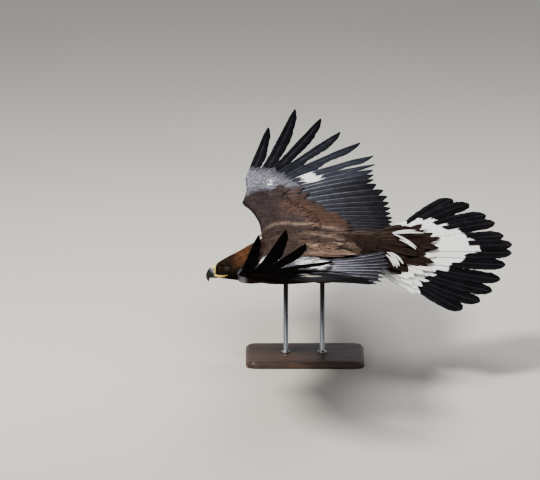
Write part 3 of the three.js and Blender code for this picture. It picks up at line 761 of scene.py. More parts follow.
BROAD = Outline(
    (
        (-0.06, 4, 5), (0.14, 11, 36), (0.6, 13, 42), (0.85, 12, 32), (0.93, 10, 20), (0.975, 7, 10),
        (1, 2, 4),
    ),
    0.985,
)
SLENDER = Outline(
    ((-0.06, 4, 5), (0.14, 11, 36), (0.6, 12, 40), (0.76, 11, 25), (0.92, 7, 14), (1, 1.5, 4)), 0.98
)
SHORT = Outline(
    (
        (-0.06, 4, 5), (0.2, 12, 38), (0.6, 13, 43), (0.91, 12, 40), (0.955, 11, 24), (0.985, 7, 10),
        (1, 1.5, 2.5),
    ),
    0.99,
)
GREATER_EDGE = Outline(((-0.02, 5, 8), (0.35, 9, 20), (0.8, 8, 15), (0.93, 6, 8), (1, 1.5, 3)), 0.97)
MEDIAN_EDGE = Outline(((0, 8, 12), (0.7, 9, 16), (0.9, 6, 9), (1, 1.5, 3)), 0.96)
RECTRIX = Outline(
    ((0, 6, 6), (0.15, 10, 10), (0.35, 18, 19), (0.68, 25, 27), (0.9, 24, 26), (0.96, 17, 18), (1, 5, 6)),
    0.98,
)
SLIM_COVERT = Outline(((0, 2, 2), (0.3, 4, 4), (0.6, 4.5, 4.5), (0.85, 3, 3), (1, 0.8, 0.8)), 0.985)
TAIL_COVERT = Outline(((0, 6, 6), (0.4, 17, 17), (0.72, 16, 16), (0.9, 9, 9), (1, 1.5, 1.5)), 0.985)


@dataclass(frozen=True)
class VaneBuild:
    """How finely a vane is made and how thick it is."""

    rows: int = 44
    columns: tuple[float, ...] = (-1, -0.82, -0.5, -0.2, -0.06, 0, 0.06, 0.2, 0.5, 0.82, 1)
    thickness: float = 0.9
    shaft: float = 0.7
    camber: float = 0.6
    ragged: float = 0.03


COVERT_COLUMNS = (-1, -0.7, -0.3, -0.08, 0, 0.08, 0.3, 0.7, 1)
WING_COVERT = VaneBuild(rows=22, columns=COVERT_COLUMNS, thickness=0.8, shaft=0.4)
TAIL_COVERT_VANE = VaneBuild(rows=24, columns=COVERT_COLUMNS, thickness=0.8, shaft=0.4)
RECTRIX_VANE = VaneBuild(rows=56, shaft=0.8)
FLIGHT_VANE = VaneBuild()

Paint = Callable[[Array, Array, Array, bool], tuple[Array, Array]]
Cell = tuple[float, float, float, float]


class VaneMaker:
    """Makes single vanes as closed lenses along a shaft."""

    def __init__(self, rng: Generator) -> None:
        """Keeps the source of the small variations."""
        self.rng = rng

    def vane(
        self,
        point_at: Callable[[Array, Array, Array], Array],
        length: float,
        outline: Outline,
        build: VaneBuild,
        paint: Paint,
        cell: Cell,
    ) -> Batch:
        """One vane. Across, its place is w = c times the width on that side; it is thickest at the shaft.

        Args:
            point_at: place of (d along, w across, dz over) in millimetres.
            length: of the shaft.
            outline: widths along it.
            build: how fine and thick it is.
            paint: colour and white share of (s, c, w) for the top or the underside.
            cell: where its bake map lies, as low u, low v, high u, high v, the top in its left half.

        Returns:
            The vane as a batch.
        """
        start = outline.rows[0][0]
        t = np.linspace(0, 1, build.rows)
        s = start + (1 - start) * (1 - (1 - t) ** 1.35)
        c = np.array(build.columns, float)
        outer, inner = outline.widths(s)
        wave = self.rng.normal(0, build.ragged, (2, build.rows))
        outer, inner = outer * (1 + wave[0]), inner * (1 + wave[1])
        ss, cc = grid_of(s, c)
        w = cc * np.where(cc < 0, outer[:, None], inner[:, None])
        d = ss * length
        thin = build.thickness * (1 - 0.5 * np.clip(ss, 0, 1)) / 2
        ridge = build.shaft * (1 - 0.75 * np.clip(ss, 0, 1)) * bell(w, 1.4)
        dome = thin * (1 - cc**2) ** 0.5
        droop = -build.camber * cc**2
        top = point_at(d, w, droop + dome + ridge)
        low = point_at(d, w, droop - dome - 0.6 * ridge)
        rim = point_at(d, w, droop)
        edge = np.zeros(top.shape[:2], bool)
        edge[[0, -1], :] = True
        edge[:, [0, -1]] = True
        top = np.where(edge[..., None], rim, top)
        top_quads, low_quads, count = lens_quads(build.rows, len(c))
        inside = ~edge
        points = np.concatenate([top.reshape(-1, 3), low[inside]])
        top_colour, top_white = paint(ss, cc, w, True)
        low_colour, low_white = paint(ss, cc, w, False)
        colour = np.concatenate([top_colour.reshape(-1, 3), low_colour[inside]])
        white = np.concatenate([top_white.ravel(), low_white[inside]])
        flat = np.stack([w, d], -1) / VANE_CELL
        vane = np.concatenate([flat.reshape(-1, 2), flat[inside]])
        spot = np.stack([(cc + 1) / 2, np.clip((ss - start) / (1 - start), 0, 1)], -1)
        spot = np.concatenate([spot.reshape(-1, 2), spot[inside]])
        quads = np.concatenate([top_quads, low_quads])
        u, v = np.moveaxis(spot[quads], -1, 0)
        u0, v0, u1, v1 = cell
        half = (u1 - u0) / 2
        shift = np.zeros((len(quads), 1))
        shift[len(top_quads):] = half
        bake = np.stack([u0 + shift + u * half * 0.92, v0 + v * (v1 - v0) * 0.95], -1)
        assert len(points) == count
        return Batch(points, quads, colour, white, vane, bake).oriented()


def cells(count: int) -> list[Cell]:
    """An even grid of places on the bake map, one for each vane."""
    across = max(1, math.ceil(math.sqrt(count / 2)))
    down = math.ceil(count / across)
    made = []
    for k in range(count):
        i, j = k % across, k // across
        edges = ((i, across), (j, down), (i + 1, across), (j + 1, down))
        made.append(tuple(0.01 + 0.98 * n / total for n, total in edges))
    return made


@dataclass(frozen=True)
class Patch:
    """A white patch on a wing: its middle in span and x, and its half widths. Some are white feather bases,
    others painted glints of light.
    """

    h: float
    x: float
    wide: float
    long: float

    def weight(self, h: Array, x: Array, spread: Array | float = 0.0) -> Array:
        """1 inside an ellipse grown by spread, falling slowly to 0 round it."""
        r = np.sqrt(((h - self.h) / self.wide) ** 2 + ((x - self.x) / self.long) ** 2) - spread
        return 1 - smoothstep(r, 0.35, 1.35)


# Each wing's first patch is the white base of its flight feathers. The left wing's second patch, on the arm's
# coverts, is white partly painted as glare; the left wing's third and the right wing's second are painted
# glints of light.
WHITE_MARKS_AND_GLINTS = {
    "right": (Patch(588, 20, 40, 34), Patch(530, -96, 14, 22)),
    "left": (Patch(584, 28, 50, 48), Patch(186, 18, 76, 60), Patch(205, -104, 70, 34)),
}


@dataclass(frozen=True)
class WingLook:
    """A wing's painted sheen along the vanes' edges, the painted brightening of its flight feathers' colours,
    its longest covert.
    """

    shine: float
    gain: float
    longest: float


# the near left wing gets a stronger painted sheen and brighter painted light on its flight feathers
LOOKS = {"right": WingLook(1.0, 1.0, 220.0), "left": WingLook(1.9, 1.6, 152.0)}


@dataclass
class WingFeathers:
    """The flight feathers and the big coverts of one wing."""

    form: WingForm
    rng: Generator
    ground: Callable[[Array, Array], Array]
    look: WingLook

    def where(self, f: Quill, d: Array, w: Array) -> tuple[Array, Array]:
        """Span and x of a place on a feather."""
        cos, sin = math.cos(f.angle), math.sin(f.angle)
        return f.h + cos * d - sin * w, f.x + sin * d + cos * w

    def patch(self, f: Quill, s: Array, w: Array) -> Array:
        """How white the white markings and painted glints make a place on a feather."""
        h, x = self.where(f, s * f.length, w)
        weight = np.zeros(np.shape(s))
        spread = self.rng.normal(0, 0.15) + 0.4 * smoothstep(-w, 3, 11) - 0.45 * smoothstep(w, 4, 26)
        for patch in WHITE_MARKS_AND_GLINTS[self.form.name]:
            weight = np.maximum(weight, patch.weight(h, x, spread))
        return weight

    def flight_paint(self, f: Quill) -> Paint:
        """Colours of a flight feather: slate with a painted sheen on the outer web's edge, darker to the tip.

        The outer primaries, called fingers here, are black. Those after them carry a painted blue-grey sheen
        on the far wing, where the innermost feathers are brown. The undersides are painted near-black shade
        in front.

        Args:
            f: the feather.

        Returns:
            The paint of its top and underside.
        """
        gain = self.look.gain
        tone = 1 + self.rng.normal(0, 0.07)
        finger = ramp(7.0 - f.station, 0, 4.5)
        far = self.form.side > 0
        inner = ramp(f.station, 13.0, 17.0) * far
        shine = self.look.shine * (1 + 0.2 * self.rng.normal()) * (1 - 0.45 * inner)
        shine *= 1 - 0.6 * (1 - ramp(f.station, 0.5, 3.5))
        tertial = ramp(f.station, 19.2, 21.0) * far
        # painted reflection: a blue-grey sheen over the far wing's middle primaries
        blue_sheen = ramp(f.station, 2.0, 4.5) * (1 - ramp(f.station, 6.5, 9)) * far

        def paint(s: Array, c: Array, w: Array, top: bool) -> tuple[Array, Array]:
            """Colour and white share at shares s and c and at w across."""
            # painted shade: the fingers' undersides are near-black, and the grey edge near the outermost
            # one's root is a painted glint
            if not top and f.station < 4.5:
                base = np.broadcast_to(PALETTE.under, (*s.shape, 3))
                edge = smoothstep(-c, 0.2, 0.8) * (1 - smoothstep(s, 0.2, 0.5)) * (f.station < 1)
                return mix(base, PALETTE.grey, edge), 0.0 * s
            ends = smoothstep(s, 0.72, 1) * (1.0 if far else 0.4 + 0.6 * finger)
            # painted sheen: the slate lightens towards the roots in step with the wing's shine
            root = PALETTE.slate * (0.6 + 0.9 * self.look.shine * (1 - smoothstep(s, 0.3, 0.75)))[..., None]
            root = mix(root, PALETTE.mantle * 1.3, tertial)
            deep = mix(root, PALETTE.black, np.clip(0.9 * finger + 0.7 * ends * (1 - 0.8 * tertial), 0, 1))
            deep = mix(deep, mix(PALETTE.slate * 1.5, PALETTE.blue, 0.45), 0.6 * blue_sheen * (1 - 0.5 * ends))
            # painted highlight: the pale outer-web edge and the pale line beside the shaft stand in for
            # reflected light
            rim = np.where(c < 0, np.abs(c) ** 3, 0.0) * (1 - 0.8 * smoothstep(s, 0.5, 0.97))
            pale = mix(mix(PALETTE.sheen, PALETTE.blue, finger), PALETTE.fold, tertial)
            colour = mix(deep, pale, np.clip(rim * shine * (0.9 - 0.3 * finger), 0, 1))
            colour = mix(colour, PALETTE.grey, 0.16 * shine * bell(w - 4, 1.6) * (1 - ends))
            colour = mix(colour, PALETTE.black, 0.6 * bell(w, 1.5))
            # painted shade: the undersides turn near-black towards the front
            if not top:
                behind = smoothstep(self.where(f, s * f.length, w)[1], -20, 60)
                colour = mix(PALETTE.under / gain, colour, behind)
            return colour * tone * gain, self.patch(f, s, w)

        return paint

    def covert_paint(self, f: Quill, tier: Tier, length: float) -> Paint:
        """Colours of a big covert: those of the wing's coat at the place, with a paler outer edge in pale
        brown and painted sheen.

        Args:
            f: the flight feather that it lies over or under.
            tier: its layer.
            length: of its shaft.

        Returns:
            The paint of its top and underside.
        """
        tone = 1 + self.rng.normal(0, 0.1)
        hand = 1 - ramp(f.station, 8.5, 13.0)
        under = tier.lift < 0
        shine = self.look.shine * (1 + 0.25 * self.rng.normal())

        def paint(s: Array, c: Array, w: Array, top: bool) -> tuple[Array, Array]:
            """Colour and white share at shares s and c and at w across."""
            # painted shade: the under coverts are near-black brown
            if under:
                base = np.broadcast_to(mix(PALETTE.under, PALETTE.belly, 0.4), (*s.shape, 3)) * tone
                return base, 0.0 * s
            dim = 0.3 + 0.45 * ramp(7.0 - f.station, 0, 3) * (tier is GREATER)
            base = self.ground(*self.where(f, s * length, w)) * (1 - dim * smoothstep(s, 0.45, 1))[..., None]
            rim = np.where(c < 0, np.abs(c) ** 3, 0.25 * np.abs(c) ** 4) * (1 - 0.6 * smoothstep(s, 0.75, 1))
            # painted sheen: the outer edge pales by the wing's shine
            pale = mix(PALETTE.fold, PALETTE.sheen, hand if self.form.side > 0 else 1.0)
            colour = mix(base, pale, np.clip((0.25 + 0.4 * hand) * rim * shine, 0, 1))
            colour = mix(colour, PALETTE.black, 0.35 * bell(w, 1.4))
            white = self.patch(f, s * length / f.length, w)
            # painted shade: an upper covert's underside is darkened to 0.4
            return colour * tone * (1 if top else 0.4), white

        return paint

    def make(self, maker: VaneMaker) -> dict[str, Batch]:
        """The wing's vanes in tiers, from the flight feathers up and down."""
        made: dict[str, Batch] = {}
        count = PRIMARIES + SECONDARIES
        grid = cells(count)
        flights = []
        for q in range(count):
            f = self.form.quill(q)
            if q < FINGERS:
                outline = finger_outline(q)
            elif q == FINGERS:
                outline = SLENDER
            else:
                outline = BROAD if q < PRIMARIES else SHORT
            at = partial(self.form.feather_point, f, FLIGHT)
            length = f.length * (1 + 0.006 * self.rng.normal())
            flights.append(maker.vane(at, length, outline, FLIGHT_VANE, self.flight_paint(f), grid[q]))
        made["flight_feathers"] = joined(flights)
        last = count - 0.6
        rows = {
            "greater_coverts": (GREATER, GREATER_LENGTH, GREATER_EDGE, 1.0, (0, last, 0.5)),
            "median_coverts": (MEDIAN, MEDIAN_LENGTH, MEDIAN_EDGE, 1.0, (0.5, last, 0.5)),
            "under_greater_coverts": (UNDER_GREATER, GREATER_LENGTH, GREATER_EDGE, 0.9, (0, count, 1.0)),
            "under_median_coverts": (UNDER_MEDIAN, MEDIAN_LENGTH, MEDIAN_EDGE, 0.9, (0.5, last, 1.0)),
        }
        for name, (tier, lengths, edge, share, stations) in rows.items():
            places = [float(q) for q in np.arange(*stations) if not PRIMARIES - 1 < q < PRIMARIES]
            grid = cells(len(places))
            row = []
            for k, q in enumerate(places):
                f = self.form.quill(q)
                length = min(float(lengths(q)), self.look.longest) * share * (1 + 0.04 * self.rng.normal())
                at = partial(self.form.feather_point, f, tier)
                paint = self.covert_paint(f, tier, length)
                row.append(maker.vane(at, length, edge, WING_COVERT, paint, grid[k]))
            made[name] = joined(row)
        return made


# Rows of tail coverts: x and y of the root, x and y of the tip, and the heights of both over the tail.
BROWN_COVERTS = (
    (186, 8, 306, 30, 43, 12), (190, -8, 310, -12, 43, 12), (188, 24, 302, 66, 38, 10),
    (190, -24, 296, -56, 38, 10), (194, 38, 298, 98, 30, 7), (196, -38, 284, -92, 30, 7),
    (204, 46, 282, 116, 17, 2), (206, -46, 270, -108, 17, 2), (214, 14, 330, 40, 38, 9),
    (214, 0, 340, 14, 39, 10), (214, -14, 328, -34, 38, 9), (212, 30, 322, 78, 32, 8),
    (214, -30, 312, -72, 32, 8), (244, 26, 334, 108, 7, 4), (248, 22, 350, 92, 8, 3),
    (250, 16, 370, 74, 7, 3), (252, 10, 386, 46, 8, 3), (254, 4, 372, 24, 9, 4), (254, -2, 386, 2, 7, 3),
    (250, -8, 366, -58, 8, 4), (248, -16, 352, -74, 7, 3), (244, -24, 294, -98, 6, 3),
    (262, 42, 384, -4, 15, 10), (260, 50, 372, 34, 16, 11),
)
WHITE_COVERTS = (
    (246, 40, 318, 116, 2.4, 1.8), (248, 34, 352, 104, 2.8, 2), (252, 26, 384, 68, 3.2, 2),
    (253, 8, 376, 34, 3.4, 2), (252, -8, 378, -26, 3.4, 2), (250, -24, 366, -88, 3, 2),
    (246, -36, 340, -112, 2.6, 2), (242, -44, 312, -122, 2.4, 2), (238, 56, 300, 134, -3, -4),
    (234, 60, 282, 140, -6, -6), (240, -52, 306, -146, -3, -4), (236, -58, 288, -152, -6, -6),
    (238, 44, 306, 116, 1.6, 1.6), (236, -50, 300, -126, 1.6, 1.6), (226, 52, 262, 128, -9, -8),
    (226, -54, 264, -140, -3, -4), (216, 50, 244, 116, -12, -9), (216, -50, 244, -122, -3, -3),
    (228, -52, 272, -142, -4, -6), (232, -56, 292, -166, -4, -6), (236, -50, 296, -148, -1, -2),
    (238, -48, 312, -150, -1, -2), (232, -46, 276, -132, 0, -2), (228, -44, 258, -116, 0, -1),
    (240, -50, 330, -158, -1, -3), (236, -58, 310, -178, -5, -7), (238, -58, 332, -182, -5, -7),
    (240, -56, 322, -160, -3, -5),
)
SLIM_WHITE_COVERTS = (
    (250, 30, 322, 62, 41, 20), (254, 27, 338, 52, 42, 20), (254, 26, 318, -12, 42, 20),
    (272, 8, 316, -22, 36, 20), (236, -42, 272, -84, 32, 16), (240, -44, 262, -92, 30, 15),
    (244, -40, 280, -80, 30, 15), (232, -50, 254, -86, 30, 17),
)


@dataclass
class TailFeathers:
    """The tail's fan and its coverts."""

    rng: Generator
    right_bands: tuple = (0.71, 0.71, 0.61, 0.57, 0.52, 0.40)
    left_bands: tuple = (0.66, 0.58, 0.48, 0.42, 0.37, 0.32)

    def plane(self, root: tuple, tip: tuple, low: float, high: float, bow: float) -> tuple[Callable, float]:
        """A vane's places in the tail's plane.

        Args:
            root: x and y of the shaft's start.
            tip: x and y of its end.
            low: height over the plane at the root.
            high: height at the tip.
            bow: how far the middle is moved, towards +y for a vane that points back.

        Returns:
            The place of (d along, w across, dz over), and the vane's length.
        """
        length = math.hypot(tip[0] - root[0], tip[1] - root[1])
        cos, sin = (tip[0] - root[0]) / length, (tip[1] - root[1]) / length

        def at(d: Array, w: Array, dz: Array) -> Array:
            """The place at d along, w across and dz over."""
            s = np.clip(d / length, 0, 1)
            across = w + bow * 4 * s * (1 - s)
            x = root[0] + cos * d - sin * across
            y = root[1] + sin * d + cos * across
            return TAIL.point(x, y, low + (high - low) * s + dz)

        return at, length

    def band_paint(self, k: int, side: int) -> Paint:
        """White at the base and black beyond a jagged edge, which each web has in its own place.

        Args:
            k: the feather's number from the middle of the fan.
            side: 1 in the right half and -1 in the left one.

        Returns:
            The paint of its top and underside.
        """
        edge = (self.right_bands if side > 0 else self.left_bands)[k]
        phase = self.rng.uniform(0, 6, 3)
        webs = self.rng.normal(0, 0.012, 2)

        def paint(s: Array, c: Array, w: Array, top: bool) -> tuple[Array, Array]:
            """Colour and white share at shares s and c and at w across."""
            out = side * c
            place = edge + np.where(out > 0, -0.055 + webs[0], 0.02 + webs[1]) - 0.03 * out
            place = place + 0.022 * np.sin(w * 1.1 + phase[0]) * np.sin(w * 0.37 + phase[1])
            white = 0.5 + np.clip((place - s) / 0.025, -1, 1) * 0.9
            rust = 0.35 * smoothstep(s, 0.86, 1) if side > 0 and k < 3 else 0.0
            base = mix(PALETTE.black, PALETTE.rump, 0.08 + rust)
            shaft = bell(w, 1.5)
            colour = mix(base, PALETTE.grey, 0.05 * shaft)
            colour = mix(colour, PALETTE.slate, 0.5 * np.clip(out, 0, 1) ** 3)
            if k == 0 and side > 0:
                white = white - 0.9 * bell(w, 1.6) * smoothstep(s, 0.2, 0.3)
                colour = mix(colour, PALETTE.cream * 0.6, shaft * (s < edge))
            return colour, white

        return paint

    def covert_paint(self, white: float) -> Paint:
        """Dark brown pointed coverts with a paler edge, or white ones."""
        tone = 1 + self.rng.normal(0, 0.08)

        def paint(s: Array, c: Array, w: Array, top: bool) -> tuple[Array, Array]:
            """Colour and white share at shares s and c and at w across."""
            rim = np.abs(c) ** 4 * 0.25
            base = mix(PALETTE.rump, PALETTE.mantle, 0.35 * (1 - s))
            return mix(base, PALETTE.fold, rim) * tone, white + 0 * s

        return paint

    def make(self, maker: VaneMaker) -> dict[str, Batch]:
        """The rectrices and the rows of coverts above and below."""
        grid = cells(2 * len(TAIL.roots))
        fan = []
        for side, tips in ((1, TAIL.right_tips), (-1, TAIL.left_tips)):
            for k, ((x, y), (tip_x, tip_y, bow)) in enumerate(zip(TAIL.roots, tips)):
                z = -TAIL.layer * (0 if k == 0 and side > 0 else k + 1)
                at, length = self.plane((x, side * y), (tip_x, side * tip_y), z, z, side * bow)
                paint = self.band_paint(k, side)
                fan.append(maker.vane(at, length, RECTRIX, RECTRIX_VANE, paint, grid[len(fan)]))
        fan_below = np.radians(np.arange(-44, 45, 11))
        under = [(252, 0, 252 + 114 * math.cos(a), 114 * math.sin(a), -15, -11) for a in fan_below]
        rows = [(place, 0.0, TAIL_COVERT) for place in BROWN_COVERTS]
        rows += [(place, 1.0, TAIL_COVERT) for place in (*WHITE_COVERTS, *under)]
        rows += [(place, 1.0, SLIM_COVERT) for place in SLIM_WHITE_COVERTS]
        coverts = []
        grid = cells(len(rows))
        for n, ((x, y, tip_x, tip_y, low, high), share, outline) in enumerate(rows):
            tip = (tip_x + 3 * self.rng.normal(), tip_y + 3 * self.rng.normal())
            bow = 5.0 if outline is SLIM_COVERT else 0.0
            odd = 0.8 * (n % 2)
            at, length = self.plane((x, y), tip, low + odd, high + odd, bow)
            paint = self.covert_paint(share)
            coverts.append(maker.vane(at, length, outline, TAIL_COVERT_VANE, paint, grid[n]))
        return {"tail_feathers": joined(fan), "tail_coverts": joined(coverts)}


# Small feathers


@dataclass
class Seeds:
    """Roots of small feathers: surface places p and q, turn, length, half width, lift and stored colours."""

    p: Array
    q: Array
    turn: Array
    length: Array
    width: Array
    lift: Array
    colour: Array
    edge: Array
    white: Array


class Leaf(Enum):
    """Outlines of a small feather, as (share, half width) in rows."""

    ROUND = ((0.0, 0.45), (0.3, 0.85), (0.6, 1.0), (0.84, 0.86), (0.95, 0.52), (1.0, 0.12))
    LANCE = ((0.0, 0.45), (0.25, 0.9), (0.5, 1.0), (0.74, 0.72), (0.9, 0.36), (1.0, 0.05))


class Drape:
    """Lays many small feathers over a surface at once, each one bent to it."""

    def __init__(self, surface: Surface, scale: Surface, outward: Callable[[Array], Array]) -> None:
        """Keeps the surface, the millimetres in one unit of q there, and which way is out."""
        self.surface = surface
        self.scale = scale
        self.outward = outward

    def normal(self, p: Array, q: Array) -> Array:
        """The surface's outward normal, from differences of half a millimetre."""
        e = 0.5
        k = e / self.scale(p, q)
        dp = self.surface(p + e, q) - self.surface(p - e, q)
        dq = self.surface(p, q + k) - self.surface(p, q - k)
        n = unit(np.cross(dp, dq))
        sign = np.sign((n * self.outward(self.surface(p, q))).sum(-1, keepdims=True))
        return n * np.where(sign == 0, 1, sign)

    def feathers(self, seeds: Seeds, leaf: Leaf, thickness: float = 0.5, sink: float = 1.4) -> Batch:
        """Closed vanes: along s L and across c W(s), turned on the surface, raised from -sink to the lift.

        Args:
            seeds: root, turn and sizes of each feather.
            leaf: outline of all of them.
            thickness: in the middle of a vane.
            sink: depth of the root under the surface.

        Returns:
            All the feathers as one batch.
        """
        columns = 5
        table = np.array(leaf.value)
        s, wide = table[:, 0], table[:, 1]
        c = np.linspace(-1, 1, columns)
        n, rows = len(seeds.p), len(s)
        scale = self.scale(seeds.p, seeds.q)
        each = (seeds.p, seeds.q, seeds.turn, seeds.length, seeds.width, seeds.lift, scale)
        p0, q0, turn, long, half, lift, scale = (v[:, None, None] for v in each)
        along = long * s[:, None] + 0 * c
        across = half * wide[:, None] * c
        cos, sin = np.cos(turn), np.sin(turn)
        p = p0 + along * cos - across * sin
        q = q0 + (along * sin + across * cos) / scale
        share = s[:, None] + 0 * p
        cc = c + 0 * p
        rise = lift * share**1.3 - sink * (1 - share) ** 2
        crown = 0.12 * half * (1 - cc**2) * np.sin(np.pi * np.clip(share, 0.1, 1) ** 0.7)
        thick = thickness * (1 - cc**2) * np.sin(np.pi * np.clip(share, 0.02, 0.98)) ** 0.5
        base, out = self.surface(p, q), self.normal(p, q)
        top = base + out * (rise + crown + thick)[..., None]
        low = base + out * (rise + crown * 0.6 - thick * 0.5)[..., None]
        top_quads, low_quads, count = lens_quads(rows, columns)
        inner = np.zeros((rows, columns), bool)
        inner[1:-1, 1:-1] = True
        points = np.concatenate([top.reshape(n, -1, 3), low[:, inner]], 1)
        quads = np.concatenate([top_quads, low_quads])
        rim = np.clip(0.7 * np.abs(cc) ** 3 + 0.45 * share**5, 0, 1)
        tint = seeds.colour[:, None, None, :] * (0.86 + 0.2 * share[..., None])
        tint = tint * (1 - rim[..., None]) + seeds.edge[:, None, None, :] * rim[..., None]
        colour = np.concatenate([tint.reshape(n, -1, 3), tint[:, inner]], 1)
        white = np.repeat(seeds.white[:, None], count, 1)
        flat = np.stack([across / VANE_CELL + 3 * np.sin(p0), along / VANE_CELL + 7 * np.cos(q0 * 9)], -1)
        vane = np.concatenate([flat.reshape(n, -1, 2), flat[:, inner]], 1)
        spot = np.stack([span01(seeds.p), span01(seeds.q)], -1)
        patch = 0.003 * np.stack([cc[0], share[0]], -1)
        local = np.concatenate([patch.reshape(-1, 2), patch[inner]])
        bake = (spot[:, None, :] + local[None])[:, quads]
        all_quads = (quads[None] + (np.arange(n) * count)[:, None, None]).reshape(-1, 4)
        whole = Batch(
            points=points.reshape(-1, 3),
            quads=all_quads,
            colour=colour.reshape(-1, 3),
            white=white.ravel(),
            vane=vane.reshape(-1, 2),
            bake=bake.reshape(-1, 4, 2),
        )
        return whole.oriented()


def same_scale(p: Array, q: Array) -> Array:
    """The scale of a surface whose q is in millimetres."""
    return np.ones(np.shape(p))


def span01(v: Array) -> Array:
    """Values spread over 0.01 to 0.99."""
    low, high = float(v.min()), float(v.max())
    return 0.01 + 0.98 * (v - low) / max(high - low, 1e-6)


def back_highlight(x: Array, y: Array) -> Array:
    """How strongly a painted highlight along a slanting line lightens a place on the back, strongest where y
    = 17 - 0.456 (x + 38).
    """
    off = y - 17 + 0.456 * (x + 38)
    return bell(off, 9) * smoothstep(x, -100, -50) * (1 - smoothstep(x, 90, 140))


# span of a painted highlight along the far wing's ridge, by x
WING_RIDGE_HIGHLIGHT = Profile((-125, 118), (-90, 163), (-40, 184), (20, 180), (60, 166), (97, 142), (140, 130))


@dataclass(frozen=True)
class CoatSizes:
    """Small feathers along the body: length, half width, spacing along and across, and lift, by X."""

    length: Profile = Profile(
        (-256, 4.5), (-235, 8), (-205, 15), (-170, 26), (-120, 36), (0, 44), (150, 46), (240, 52),
        (290, 46),
    )
    width: Profile = Profile(
        (-256, 1.5), (-235, 2.4), (-205, 3.6), (-170, 5.2), (-120, 8.5), (0, 12), (150, 12), (290, 11),
    )
    along: Profile = Profile(
        (-256, 1.9), (-235, 3.0), (-205, 4.6), (-170, 6.6), (-120, 8.6), (0, 11), (290, 11),
    )
    across: Profile = Profile(
        (-256, 1.9), (-235, 2.8), (-205, 4.0), (-170, 5.4), (-120, 7.6), (0, 10), (290, 9),
    )
    lift: Profile = Profile(
        (-256, 0.5), (-235, 0.8), (-205, 1.6), (-170, 2.6), (-120, 2.4), (0, 2.2), (290, 2.2),
    )


@dataclass
class Coat:
    """The small feathers of head, neck, body and legs, and the colours that the skin under them shares."""

    rng: Generator
    sizes: CoatSizes = CoatSizes()

    def body_colour(self, p: Array) -> Array:
        """Markings of the body: dark face, golden nape, brown back, darker underside.

        Args:
            p: places in millimetres.

        Returns:
            The colour at each.
        """
        x, y, z = p[..., 0], p[..., 1], p[..., 2] - SHOULDER_Z
        height = (z - BODY.middle(x)) / np.maximum(BODY.half(x), 1)
        streak = 0.5 + 0.5 * np.sin(y * 0.42 + z * 0.3 + 2.4 * np.sin(x * 0.045 + 0.9 * np.sin(z * 0.21)))
        head = mix(PALETTE.face, PALETTE.crown, smoothstep(height, -0.2, 0.5))
        gold = smoothstep(x, -220, -196) * (1 - smoothstep(x, -190, -160)) * smoothstep(height, -0.1, 0.5)
        head = mix(head, PALETTE.gold, gold * (0.35 + 0.65 * streak))
        fold = mix(PALETTE.mantle, PALETTE.fold, 0.2 * streak**2)
        back = mix(fold, PALETTE.rump, smoothstep(x, 20, 120))
        # painted highlight: a pale slanting line across the back
        back = mix(back, PALETTE.fold * 1.3, 0.6 * back_highlight(x, y))
        # darker below: the underparts' own dark brown together with painted shade
        low = mix(PALETTE.throat, PALETTE.belly, smoothstep(x, -190, -90))
        trunk = mix(low, back, smoothstep(height, -0.1, 0.4))
        neck = mix(low, head, smoothstep(height, -0.75, -0.25))
        return mix(neck, trunk, smoothstep(x, -160, -110))

    def body(self) -> Seeds:
        """Roots in rings along the body, each turned by half a step, none on the eye or inside the wing."""
        z = self.sizes
        xs = [-254.0]
        while xs[-1] < 288:
            xs.append(xs[-1] + float(z.along(xs[-1])))
        ps, qs = [], []
        for k, x in enumerate(xs):
            round_length = math.pi * (BODY.width(x) + BODY.half(x))
            count = max(8, int(round_length / float(z.across(x))))
            a = (np.arange(count) + 0.5 * (k % 2)) / count * 2 * np.pi
            ps.append(np.full(count, x))
            qs.append(a)
        p, q = np.concatenate(ps), np.concatenate(qs)
        p = p + self.rng.normal(0, 0.22, len(p)) * z.along(p)
        q = q + self.rng.normal(0, 0.2, len(q)) * z.across(p) / np.maximum(BODY.half(p), 5)
        at = BODY.surface(p, q)
        inside_wing = (np.abs(np.sin(q)) < 0.22) & (p > -112) & (p < 8)
        keep = (p > -257) & ~HEAD.bare(at) & ~inside_wing
        p, q, at = p[keep], q[keep], at[keep]
        colour = self.body_colour(at) * (1 + self.rng.normal(0, 0.13, len(p)))[:, None]
        pale = mix(colour, PALETTE.fold, 0.16 * smoothstep(p, -190, -120))
        crown = (1 - smoothstep(p, -182, -146)) * smoothstep(p, -222, -196) * (at[..., 2] > SHOULDER_Z - 62)
        gold_edge = mix(colour, PALETTE.gold * 1.5, 0.5 * crown)
        edge = np.where((p < -150)[:, None], gold_edge, pale)
        turn = self.rng.normal(0, 0.09, len(p))
        size = 1 + self.rng.normal(0, 0.1, len(p))
        white = np.zeros(len(p))
        return Seeds(p, q, turn, z.length(p) * size, z.width(p) * size, z.lift(p), colour, edge, white)


class HeadForm:
    """Places on the head that carry no feathers, and its fixed points."""

    eye = np.array([-222.0, 18.0, SHOULDER_Z - 55.0])
    eye_radius = 11.0

    def bare(self, p: Array) -> Array:
        """Whether a place is on the eye, on the bill's root or on the corner of the mouth."""
        to_eye = np.hypot(p[..., 0] - self.eye[0], p[..., 2] - self.eye[2])
        eye = (to_eye < 8.6) & (np.abs(p[..., 1]) > 10)
        z = p[..., 2] - SHOULDER_Z
        corner = (p[..., 0] < -224) & (np.abs(z + 79) < 3.0) & (np.abs(p[..., 1]) > 6)
        return eye | corner


HEAD = HeadForm()


